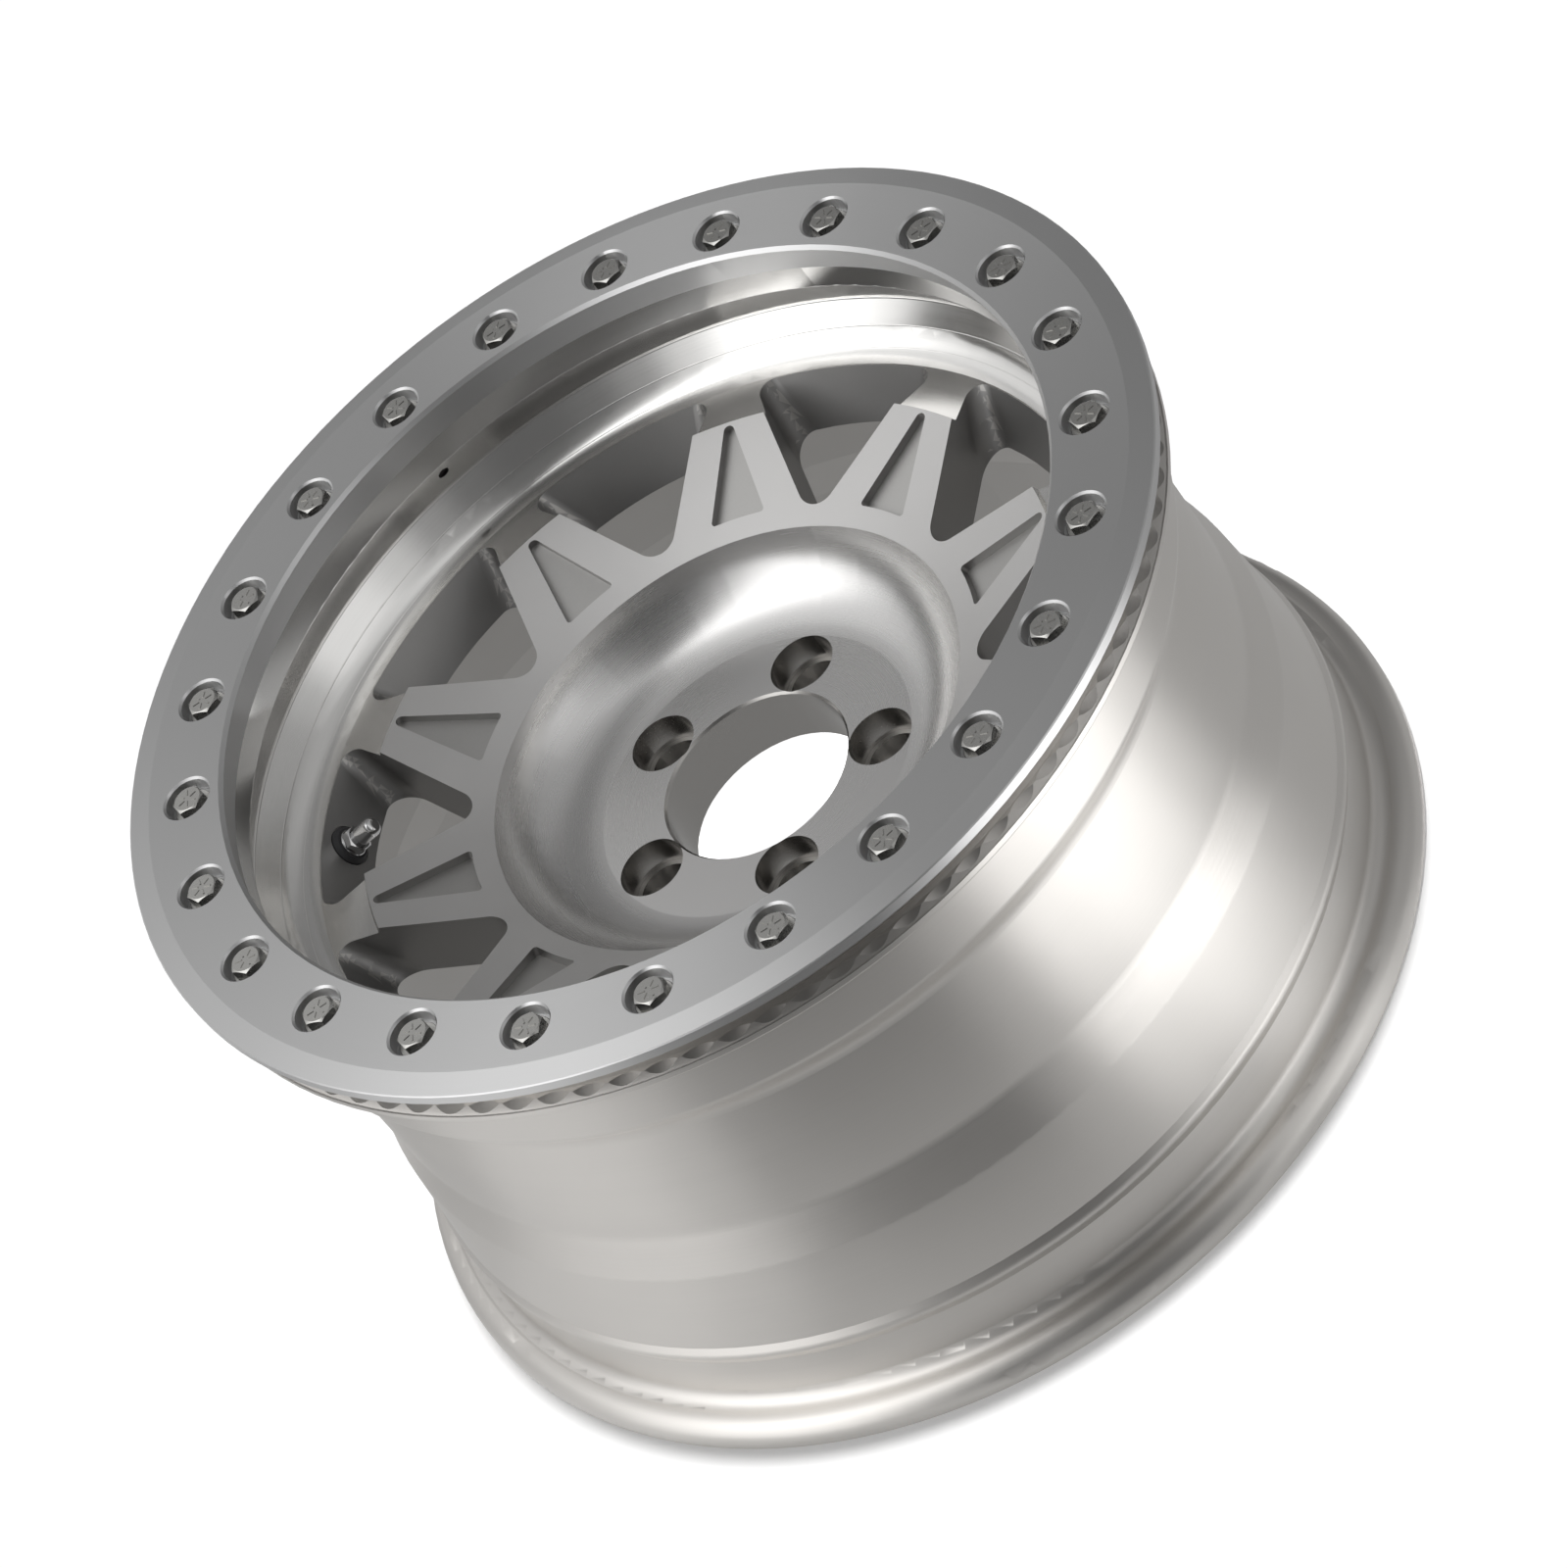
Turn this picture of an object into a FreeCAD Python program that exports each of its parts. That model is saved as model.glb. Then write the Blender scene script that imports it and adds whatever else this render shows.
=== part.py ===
"""Beadlock wheel: a one-piece wheel, its clamping ring, their fasteners and the valve.

Millimetres. The origin is on the wheel's axis in the plane of the hub pad, +Z points out to the
street side. Angles are counted about +Z from a lug hole, which lies behind a window.
"""
import FreeCAD
import Part
import Sketcher
import math
import os

from FreeCAD import Placement, Rotation, Vector

SIZES = {
    # How far a through cut runs past the metal
    "through_margin": 1.0,
    # Heights along the axis, from the hub pad
    "ring_face_height": 138.5,
    "ring_thickness": 16.4,
    "rear_end_depth": 114.3,
    "dish_floor_height": 28.5,
    # Hub and dish
    "bore_radius": 42.0,
    "bore_chamfer": 1.0,
    "pad_radius": 79.0,
    "hub_flank_width": 7.0,
    "hub_round": 6.0,
    "dish_floor_radius": 71.6,
    "dish_rim_radius": 107.6,
    # Spoke faces and backs are two parallel cones
    "cone_apex_height": 20.5,
    "cone_slope": 0.33,
    "spoke_thickness": 30.2,
    "spoke_end_radius": 160.1,
    "spoke_step_width": 1.4,
    "channel_drop": 2.7,
    # Street side lip, from the channel forward
    "channel_radius": 182.3,
    "lip_hollow_radius": 17.0,
    "crease_radius": 195.8,
    "crease_rise": 8.9,
    "flare_radius": 202.6,
    "flare_rise": 19.1,
    "flare_round": 1.5,
    "land_radius": 192.5,
    "land_depth": 13.3,
    "throat_radius": 191.6,
    # Front shoulder with the bead grip
    "register_radius": 218.0,
    "shoulder_drop": 4.4,
    "grip_start_radius": 221.3,
    "grip_peak_radius": 225.0,
    "grip_end_radius": 228.6,
    "grip_height": 1.5,
    "grip_count": 90,
    "notch_radius": 21.0,
    "notch_floor": 0.25,
    "notch_lead": 0.3,
    "shoulder_radius": 229.4,
    "shoulder_thickness": 3.7,
    "shoulder_round": 1.5,
    # Barrel outside, from the shoulder back
    "neck_radius": 218.8,
    "neck_round": 3.0,
    "slope_radius": 215.7,
    "slope_height": 79.5,
    "well_front_height": 68.0,
    "well_radius": 207.3,
    "well_round": 14.0,
    "well_back_depth": 0.5,
    "ramp_radius": 212.7,
    "ramp_depth": 23.0,
    "hump_foot_radius": 217.0,
    "hump_foot_depth": 66.0,
    "hump_radius": 219.5,
    "hump_depth": 70.5,
    "hump_round": 4.0,
    "seat_front_radius": 216.9,
    "seat_front_depth": 76.5,
    "seat_radius": 218.3,
    "flange_depth": 101.5,
    "flange_foot_round": 6.5,
    "flange_curl_radius": 9.3,
    "flange_radius": 234.8,
    "flange_edge_round": 1.6,
    # Barrel inside
    "barrel_wall": 8.0,
    "rear_lip_radius": 228.5,
    "rear_lip_step": 8.5,
    "rear_lip_slant": 6.3,
    "rear_inner_radius": 210.5,
    "rear_inner_depth": 98.0,
    "window_back_radius": 170.7,
    "window_back_ledge": 0.6,
    "cavity_round": 15.0,
    # Windows between the spokes
    "window_count": 10,
    "window_vertex_radius": 109.5,
    "window_front_radius": 181.7,
    "window_half_angle": 35.0,
    "window_inner_round": 9.8,
    "window_front_round": 6.0,
    "window_back_round": 11.5,
    "window_front_margin": 5.4,
    "window_back_height": 20.0,
    # Pockets milled in the spoke faces
    "pocket_depth": 4.0,
    "pocket_base_radius": 117.2,
    "pocket_base_half": 12.7,
    "pocket_corner_round": 1.5,
    "pocket_tip_radius": 158.5,
    "pocket_tip_round": 2.5,
    # Lug holes
    "lug_count": 5,
    "lug_circle_radius": 57.15,
    "lug_bore_radius": 14.5,
    "lug_bore_floor": 14.0,
    "lug_seat_radius": 12.5,
    "lug_seat_half_angle": 30.0,
    "lug_hole_radius": 7.5,
    # Clamping ring
    "ring_inner_radius": 188.0,
    "ring_inner_chamfer": 1.6,
    "ring_bevel_radius": 222.7,
    "ring_outer_radius": 233.0,
    "ring_bevel_drop": 1.8,
    "ring_edge_chamfer": 0.5,
    "ring_edge_depth": 6.4,
    "ring_lip_drop": 1.2,
    # Ring bolts, washers and inserts
    "bolt_count": 24,
    "bolt_circle_radius": 204.5,
    "bolt_first_angle": 10.5,
    "bolt_pocket_radius": 10.35,
    "bolt_pocket_depth": 7.2,
    "bolt_pocket_chamfer": 0.9,
    "bolt_hole_radius": 4.35,
    "bolt_radius": 3.95,
    "bolt_length": 25.4,
    "bolt_tip_chamfer": 0.9,
    "bolt_head_flats": 12.7,
    "bolt_head_height": 5.3,
    "hex_crown": 0.94,
    "hex_crown_angle": 30.0,
    "hex_crown_margin": 0.5,
    "washer_radius": 8.7,
    "washer_hole_radius": 4.35,
    "washer_thickness": 1.6,
    "washer_edge_round": 0.3,
    "insert_radius": 5.5,
    "insert_length": 14.0,
    "insert_recess": 0.5,
    "insert_fit": 0.05,
    "thread_fit": 0.05,
    "drill_radius": 4.2,
    "drill_extra": 3.6,
    # Small blind hole in the lip
    "lip_hole_angle": 56.2,
    "lip_hole_height": 102.6,
    "lip_hole_radius": 2.7,
    "lip_hole_bottom": 199.3,
    "lip_hole_lead": 4.0,
    # Valve place in the window wall
    "valve_angle": 108.0,
    "valve_seat_height": 58.7,
    "valve_spot_depth": 0.8,
    "valve_spot_radius": 9.3,
    "valve_hole_radius": 5.75,
    "valve_wall": 5.0,
    "valve_inner_bore_radius": 8.5,
    "valve_inner_bore_length": 40.0,
    # Valve pieces, along the valve's own axis from the spot face
    "stem_radius": 4.0,
    "stem_fit": 0.05,
    "grommet_radius": 8.8,
    "grommet_top_radius": 7.2,
    "grommet_height": 3.0,
    "grommet_rim": 1.2,
    "grommet_sleeve_gap": 0.1,
    "grommet_sleeve_length": 2.3,
    "inner_grommet_radius": 7.6,
    "inner_grommet_height": 2.5,
    "valve_washer_radius": 6.2,
    "valve_washer_thickness": 1.0,
    "valve_washer_chamfer": 0.3,
    "valve_nut_flats": 11.0,
    "valve_nut_height": 4.0,
    "stem_foot_radius": 7.0,
    "stem_foot_height": 2.7,
    "stem_shoulder": 8.8,
    "stem_tip": 17.0,
    "stem_thread_radius": 3.85,
    "stem_air_radius": 1.7,
    "stem_chamber_start": 1.0,
    "stem_chamber_radius": 2.25,
    "core_thread_start": 10.0,
    "core_thread_radius": 2.65,
    # Valve core
    "core_head_radius": 2.6,
    "core_head_start": 10.3,
    "core_head_top": 15.5,
    "core_barrel_radius": 1.9,
    "core_barrel_start": 2.5,
    "core_floor": 0.8,
    "core_chamber_radius": 1.45,
    "core_chamber_top": 12.0,
    "pin_radius": 0.5,
    "pin_fit": 0.06,
    "pin_tip": 16.5,
    "pin_foot_radius": 1.5,
    "pin_foot_height": 0.6,
    "pin_collar_radius": 1.2,
    "pin_collar_height": 0.6,
    "pin_collar_start": 10.6,
    "core_seal_height": 1.3,
    "gasket_start": 7.8,
    "gasket_height": 1.6,
    "spring_wire_radius": 0.15,
    "spring_coil_radius": 0.95,
    "spring_turns": 5.5,
    # Valve cap
    "cap_radius": 4.25,
    "cap_start": 9.6,
    "cap_thread_fit": 0.05,
    "cap_seal_height": 0.9,
    "cap_seal_inner_radius": 2.9,
    "cap_top": 19.2,
    "cap_dome_start": 16.6,
    "cap_flat_radius": 1.6,
}

ORIGIN_POINT = (-1, 1)
H_AXIS = -1
V_AXIS = -2
AXIS_LENGTH = 10.0


class Size:
    """A length or angle together with the sheet formula that it comes from."""

    def __init__(self, value, formula=None):
        self.value = float(value)
        self.formula = formula or "(%r)" % float(value)

    def __add__(self, other):
        other = sized(other)
        return Size(self.value + other.value, "(%s + %s)" % (self.formula, other.formula))

    def __sub__(self, other):
        other = sized(other)
        return Size(self.value - other.value, "(%s - %s)" % (self.formula, other.formula))

    def __mul__(self, other):
        other = sized(other)
        return Size(self.value * other.value, "(%s * %s)" % (self.formula, other.formula))

    def __truediv__(self, other):
        other = sized(other)
        return Size(self.value / other.value, "(%s / %s)" % (self.formula, other.formula))

    def __neg__(self):
        return Size(-self.value, "(0 - %s)" % self.formula)

    def __radd__(self, other):
        return sized(other) + self

    def __rsub__(self, other):
        return sized(other) - self

    def __rmul__(self, other):
        return sized(other) * self

    def __rtruediv__(self, other):
        return sized(other) / self


def sized(item):
    """Give a plain number the form of a Size."""
    return item if isinstance(item, Size) else Size(item)


def sine(angle):
    """Sine of an angle in degrees."""
    angle = sized(angle)
    return Size(math.sin(math.radians(angle.value)), "sin(%s)" % angle.formula)


def cosine(angle):
    """Cosine of an angle in degrees."""
    angle = sized(angle)
    return Size(math.cos(math.radians(angle.value)), "cos(%s)" % angle.formula)


def tangent(angle):
    """Tangent of an angle in degrees."""
    return sine(angle) / cosine(angle)


def root(item):
    """Square root of a Size."""
    return Size(math.sqrt(item.value), "sqrt(%s)" % item.formula)


class Sheet:
    """The driving dimensions, each read back from its cell as a Size."""

    def __init__(self, doc, table):
        self.cells = doc.addObject("Spreadsheet::Sheet", "Sizes")
        for row, (alias, value) in enumerate(table.items(), start=1):
            self.cells.set("A%d" % row, alias)
            self.cells.set("B%d" % row, str(value))
            self.cells.setAlias("B%d" % row, alias)
        doc.recompute()

    def __getattr__(self, alias):
        return Size(self.cells.get(alias), "Sizes." + alias)


class Corner:
    """A corner of an outline, with a rounding there or an arc on the way to it."""

    def __init__(self, across, along, rounding=None, arc=None, left=True):
        self.across = sized(across)
        self.along = sized(along)
        self.rounding = rounding
        self.arc = arc
        self.left = left

    def point(self):
        """Place of the corner in the sketch plane."""
        return Vector(self.across.value, self.along.value, 0)


def bind(feature, path, size):
    """Tie a property of a feature to the sheet."""
    feature.setExpression(path, sized(size).formula)


def rounding_points(before, corner, after, radius):
    """Ends and centre of the arc that rounds a corner, and whether it turns left."""
    back = (before - corner).normalize()
    ahead = (after - corner).normalize()
    half = back.getAngle(ahead) / 2
    reach = radius / math.tan(half)
    middle = (back + ahead).normalize()
    left = back.cross(ahead).z < 0
    return corner + back * reach, corner + middle * (radius / math.sin(half)), corner + ahead * reach, left


def circle_arc(centre, radius, first, last):
    """Arc of a circle, counter-clockwise from the first point to the last."""
    start = math.atan2(first.y - centre.y, first.x - centre.x)
    end = math.atan2(last.y - centre.y, last.x - centre.x)
    return Part.ArcOfCircle(Part.Circle(centre, Vector(0, 0, 1), radius), start, end)


def arc_centre(first, last, radius, left):
    """Centre of the shorter arc between two points."""
    chord = last - first
    middle = (first + last) * 0.5
    side = Vector(-chord.y, chord.x, 0).normalize()
    height = math.sqrt(max(radius * radius - chord.Length ** 2 / 4, 0.0))
    return middle + side * (height if left else -height)


class Draft:
    """Geometry and constraints gathered for one sketch and added in one go."""

    def __init__(self, sketch):
        self.sketch = sketch
        self.shapes = []
        self.guides = []
        self.rules = []
        self.bound = []

    def add(self, shape, guide=False):
        """Add a curve, or a guide that is left out of the profile."""
        self.shapes.append(shape)
        if guide:
            self.guides.append(len(self.shapes) - 1)
        return len(self.shapes) - 1

    def rule(self, *terms, size=None, unit=""):
        """Add a constraint, tied to the sheet where it has a size."""
        if size is not None:
            value = math.radians(size.value) if unit else size.value
            self.bound.append((len(self.rules), size.formula + unit))
            terms = terms + (value,)
        self.rules.append(Sketcher.Constraint(*terms))

    def place(self, shape, end, across, along):
        """Set both coordinates of a point."""
        for axis, kind, size in ((V_AXIS, "DistanceX", sized(across)), (H_AXIS, "DistanceY", sized(along))):
            if size.formula == "(0.0)":
                self.rule("PointOnObject", shape, end, axis)
            else:
                self.rule(kind, *ORIGIN_POINT, shape, end, size=size)

    def finish(self):
        """Put everything into the sketch."""
        self.sketch.addGeometry(self.shapes, False)
        for guide in self.guides:
            self.sketch.setConstruction(guide, True)
        self.sketch.addConstraint(self.rules)
        for index, formula in self.bound:
            self.sketch.setExpression("Constraints[%d]" % index, formula)


def draw_outline(sketch, corners):
    """Draw a closed chain of lines and arcs, with every corner placed from the sheet."""
    draft = Draft(sketch)
    count = len(corners)
    roundings = []
    for index, corner in enumerate(corners):
        if corner.rounding is None:
            roundings.append(None)
            continue
        before = corners[index - 1].point()
        after = corners[(index + 1) % count].point()
        roundings.append(rounding_points(before, corner.point(), after, corner.rounding.value))
    ends = []
    for index, corner in enumerate(corners):
        follower = (index + 1) % count
        first = roundings[index][2] if roundings[index] else corner.point()
        last = roundings[follower][0] if roundings[follower] else corners[follower].point()
        radius = corners[follower].arc
        if radius is None:
            draft.add(Part.LineSegment(first, last))
            ends.append((1, 2))
            continue
        left = corners[follower].left
        centre = arc_centre(first, last, radius.value, left)
        pair = (first, last) if left else (last, first)
        side = draft.add(circle_arc(centre, radius.value, *pair))
        ends.append((1, 2) if left else (2, 1))
        draft.rule("Radius", side, size=radius)
    for index, corner in enumerate(corners):
        before = (index - 1) % count
        if roundings[index] is None:
            draft.rule("Coincident", before, ends[before][1], index, ends[index][0])
            draft.place(index, ends[index][0], corner.across, corner.along)
            continue
        entry, centre, leave, left = roundings[index]
        pair = (entry, leave) if left else (leave, entry)
        arc = draft.add(circle_arc(centre, corner.rounding.value, *pair))
        entry_end, leave_end = (1, 2) if left else (2, 1)
        draft.rule("Tangent", before, ends[before][1], arc, entry_end)
        draft.rule("Tangent", arc, leave_end, index, ends[index][0])
        draft.rule("Radius", arc, size=corner.rounding)
        guide = draft.add(Part.Point(corner.point()), guide=True)
        draft.place(guide, 1, corner.across, corner.along)
        draft.rule("PointOnObject", guide, 1, before)
        draft.rule("PointOnObject", guide, 1, index)
    draft.finish()


def draw_circle(sketch, across, along, radius):
    """Draw one circle."""
    draft = Draft(sketch)
    across, along = sized(across), sized(along)
    centre = Vector(across.value, along.value, 0)
    circle = draft.add(Part.Circle(centre, Vector(0, 0, 1), radius.value))
    draft.rule("Radius", circle, size=radius)
    draft.place(circle, 3, across, along)
    draft.finish()


def hex_corner_radius(flats):
    """Radius of a hexagon's corners from its width across flats."""
    return flats / 2 / cosine(30)


def draw_hexagon(sketch, across, flats):
    """Draw a hexagon centred on the sketch's horizontal axis."""
    reach = hex_corner_radius(flats)
    draw_outline(sketch, [Corner(across + reach * cosine(60 * step), reach * sine(60 * step))
                          for step in range(6)])


def cut_hex_crown(body, name, size, centre, top, flats):
    """Turn off the top corners of a hexagon."""
    crown = flats / 2 * size.hex_crown
    outside = hex_corner_radius(flats) + size.hex_crown_margin
    drop = (outside - crown) * tangent(size.hex_crown_angle)
    rim = new_sketch(body, name + "_outline", "XZ_Plane")
    draw_outline(rim, [
        Corner(centre + crown, top),
        Corner(centre + outside, top - drop),
        Corner(centre + outside, top),
    ])
    add_axis(rim, sized(centre))
    revolve(body, name, rim, cut=True, axis="Axis0")


def add_axis(sketch, across):
    """Add a guide line parallel to the vertical axis, to turn a profile about."""
    foot = Vector(across.value, 0, 0)
    line = sketch.addGeometry(Part.LineSegment(foot, foot + Vector(0, AXIS_LENGTH, 0)), True)
    sketch.addConstraint(Sketcher.Constraint("Vertical", line))
    sketch.addConstraint(Sketcher.Constraint("PointOnObject", line, 1, H_AXIS))
    sketch.addConstraint(Sketcher.Constraint("DistanceY", line, 1, line, 2, AXIS_LENGTH))
    place = sketch.addConstraint(Sketcher.Constraint("DistanceX", *ORIGIN_POINT, line, 1, across.value))
    sketch.setExpression("Constraints[%d]" % place, across.formula)


def origin_feature(body, role):
    """Find one of a body's own base planes or axes."""
    return next(item for item in body.Origin.OriginFeatures if item.Role == role)


def new_body(doc, name):
    """Start a sub-part, with its label as its file name."""
    body = doc.addObject("PartDesign::Body", name)
    body.Label = name
    return body


def new_sketch(body, name, plane, base=None, rotation=None):
    """Start a sketch on a base plane, moved by three Sizes and turned."""
    sketch = body.newObject("Sketcher::SketchObject", name)
    sketch.AttachmentSupport = [(origin_feature(body, plane), "")]
    sketch.MapMode = "FlatFace"
    base = [sized(item) for item in (base or (0, 0, 0))]
    offset = Vector(*[item.value for item in base])
    sketch.AttachmentOffset = Placement(offset, rotation or Rotation())
    for letter, item in zip("xyz", base):
        bind(sketch, "AttachmentOffset.Base." + letter, item)
    return sketch


def revolve(body, name, sketch, cut=False, axis="V_Axis"):
    """Turn a profile right round, to add or to cut."""
    feature = body.newObject("PartDesign::Groove" if cut else "PartDesign::Revolution", name)
    feature.Profile = sketch
    feature.ReferenceAxis = (sketch, [axis])
    feature.Angle = 360
    return feature


def extrude(body, name, sketch, length, cut=False, ahead=True):
    """Pad or cut a profile by a length, ahead along the sketch's normal or behind it."""
    feature = body.newObject("PartDesign::Pocket" if cut else "PartDesign::Pad", name)
    feature.Profile = sketch
    feature.Length = sized(length).value
    bind(feature, "Length", length)
    feature.Reversed = ahead if cut else not ahead
    return feature


def repeat(body, name, features, count, whole=False):
    """Repeat features, or all made so far, in a ring about the sub-part's Z axis."""
    body.Document.recompute()
    pattern = body.newObject("PartDesign::PolarPattern", name)
    if whole:
        pattern.TransformMode = "Whole shape"
    else:
        pattern.Originals = features
    pattern.Axis = (origin_feature(body, "Z_Axis"), [""])
    pattern.Angle = 360
    pattern.Occurrences = int(count.value)
    bind(pattern, "Occurrences", count)
    body.Tip = pattern
    return pattern


def cone_front(size, radius):
    """Height of the spoke faces at a radius."""
    return size.cone_apex_height + size.cone_slope * radius


def cone_back(size, radius):
    """Height of the spoke backs at a radius."""
    return cone_front(size, radius) - size.spoke_thickness


def cone_slant(size):
    """Length along a spoke's slope for each unit of radius."""
    return root(1 + size.cone_slope * size.cone_slope)


def joint_height(size):
    """Height of the face that the clamping ring sits on."""
    return size.ring_face_height - size.ring_thickness


def shoulder_height(size):
    """Height of the face that carries the bead grip."""
    return joint_height(size) - size.shoulder_drop


def channel_height(size):
    """Height of the turned channel round the spoke ends."""
    return cone_front(size, size.spoke_end_radius) - size.channel_drop


def wall_taper(size):
    """How much the windows' outer wall closes in for each millimetre it goes back."""
    back = cone_back(size, size.window_back_radius)
    return (size.window_front_radius - size.window_back_radius) / (channel_height(size) - back)


def window_wall_radius(size, height):
    """Radius of the windows' outer wall at a height."""
    return size.window_front_radius - wall_taper(size) * (channel_height(size) - height)


def wheel_profile(size):
    """Half section of the wheel, from the bore round by the pad, the back and the barrel."""
    bore = size.bore_radius
    floor = size.dish_floor_height
    rim_width = size.dish_rim_radius - size.dish_floor_radius
    rim_rise = cone_front(size, size.dish_rim_radius) - floor
    dish_radius = (rim_width * rim_width + rim_rise * rim_rise) / (2 * rim_rise)
    hub_back = size.pad_radius + size.hub_flank_width
    back = size.window_back_radius + size.window_back_ledge
    inner = size.well_radius - size.barrel_wall
    cavity_end = cone_back(size, back) - wall_taper(size) * (inner - back)
    rear = -size.rear_end_depth
    curl_start = size.flange_radius - size.flange_curl_radius
    curl_end = -size.flange_depth - size.flange_curl_radius
    joint = joint_height(size)
    shoulder = shoulder_height(size)
    channel = channel_height(size)
    crease = channel + size.crease_rise
    flare = channel + size.flare_rise
    step = size.spoke_end_radius + size.spoke_step_width
    return [
        Corner(bore, floor - size.bore_chamfer),
        Corner(bore, size.bore_chamfer),
        Corner(bore + size.bore_chamfer, 0),
        Corner(size.pad_radius, 0),
        Corner(hub_back, cone_back(size, hub_back), rounding=size.hub_round),
        Corner(back, cone_back(size, back)),
        Corner(inner, cavity_end, rounding=size.cavity_round),
        Corner(inner, -size.well_back_depth),
        Corner(size.ramp_radius - size.barrel_wall, -size.ramp_depth),
        Corner(size.rear_inner_radius, -size.rear_inner_depth),
        Corner(size.rear_lip_radius - size.rear_lip_step, rear + size.rear_lip_slant),
        Corner(size.rear_lip_radius, rear),
        Corner(size.flange_radius, rear, rounding=size.flange_edge_round),
        Corner(size.flange_radius, curl_end),
        Corner(curl_start, -size.flange_depth, arc=size.flange_curl_radius),
        Corner(size.seat_radius, -size.flange_depth, rounding=size.flange_foot_round),
        Corner(size.seat_front_radius, -size.seat_front_depth),
        Corner(size.hump_radius, -size.hump_depth, rounding=size.hump_round),
        Corner(size.hump_foot_radius, -size.hump_foot_depth),
        Corner(size.ramp_radius, -size.ramp_depth, rounding=size.well_round),
        Corner(size.well_radius, -size.well_back_depth, rounding=size.well_round),
        Corner(size.well_radius, size.well_front_height, rounding=size.well_round),
        Corner(size.slope_radius, size.slope_height, rounding=size.well_round / 2),
        Corner(size.neck_radius, shoulder - size.shoulder_thickness, rounding=size.neck_round),
        Corner(size.shoulder_radius, shoulder - size.shoulder_thickness, rounding=size.shoulder_round),
        Corner(size.shoulder_radius, shoulder),
        Corner(size.grip_end_radius, shoulder),
        Corner(size.grip_peak_radius, shoulder + size.grip_height),
        Corner(size.grip_start_radius, shoulder),
        Corner(size.register_radius, shoulder),
        Corner(size.register_radius, joint),
        Corner(size.throat_radius, joint),
        Corner(size.land_radius, joint - size.land_depth),
        Corner(size.flare_radius, flare, rounding=size.flare_round),
        Corner(size.crease_radius, crease),
        Corner(size.channel_radius, channel, arc=size.lip_hollow_radius, left=False),
        Corner(step, channel),
        Corner(size.spoke_end_radius, cone_front(size, size.spoke_end_radius)),
        Corner(size.dish_rim_radius, cone_front(size, size.dish_rim_radius)),
        Corner(size.dish_floor_radius, floor, arc=dish_radius, left=False),
        Corner(bore + size.bore_chamfer, floor),
    ]


def draw_window(sketch, size, outer, corner):
    """Draw one window: straight sides from a vertex, a round inner end, an arc outside."""
    half = size.window_half_angle
    inner = size.window_inner_round
    centre = size.window_vertex_radius + inner / sine(half)
    turn = math.radians(half.value)
    side = Vector(math.cos(turn), math.sin(turn), 0)
    inward = Vector(math.sin(turn), -math.cos(turn), 0)
    start = Vector(size.window_vertex_radius.value, 0, 0) + inward * corner.value
    reach = outer.value - corner.value
    along = start.dot(side)
    travel = -along + math.sqrt(along * along - start.dot(start) + reach * reach)
    upper = start + side * travel
    lower = Vector(upper.x, -upper.y, 0)
    mirror = Vector(inward.x, -inward.y, 0)
    middle = Vector(centre.value, 0, 0)
    origin = Vector(0, 0, 0)
    upper_side, lower_side = upper - inward * corner.value, lower - mirror * corner.value
    upper_end, lower_end = upper * (outer.value / reach), lower * (outer.value / reach)
    upper_start, lower_start = middle - inward * inner.value, middle - mirror * inner.value
    draft = Draft(sketch)
    low = draft.add(Part.LineSegment(lower_start, lower_side))
    low_corner = draft.add(circle_arc(lower, corner.value, lower_side, lower_end))
    rim = draft.add(circle_arc(origin, outer.value, lower_end, upper_end))
    high_corner = draft.add(circle_arc(upper, corner.value, upper_end, upper_side))
    high = draft.add(Part.LineSegment(upper_side, upper_start))
    nose = draft.add(circle_arc(middle, inner.value, upper_start, lower_start))
    chain = [low, low_corner, rim, high_corner, high, nose]
    for first, second in zip(chain, chain[1:] + chain[:1]):
        draft.rule("Tangent", first, 2, second, 1)
    draft.rule("Coincident", rim, 3, *ORIGIN_POINT)
    draft.place(nose, 3, centre, 0)
    draft.rule("Radius", rim, size=outer)
    draft.rule("Radius", nose, size=inner)
    draft.rule("Radius", low_corner, size=corner)
    draft.rule("Radius", high_corner, size=corner)
    draft.rule("Angle", low, size=-half, unit=" * 1 deg")
    draft.rule("Angle", high, size=half - 180, unit=" * 1 deg")
    draft.finish()


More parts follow.
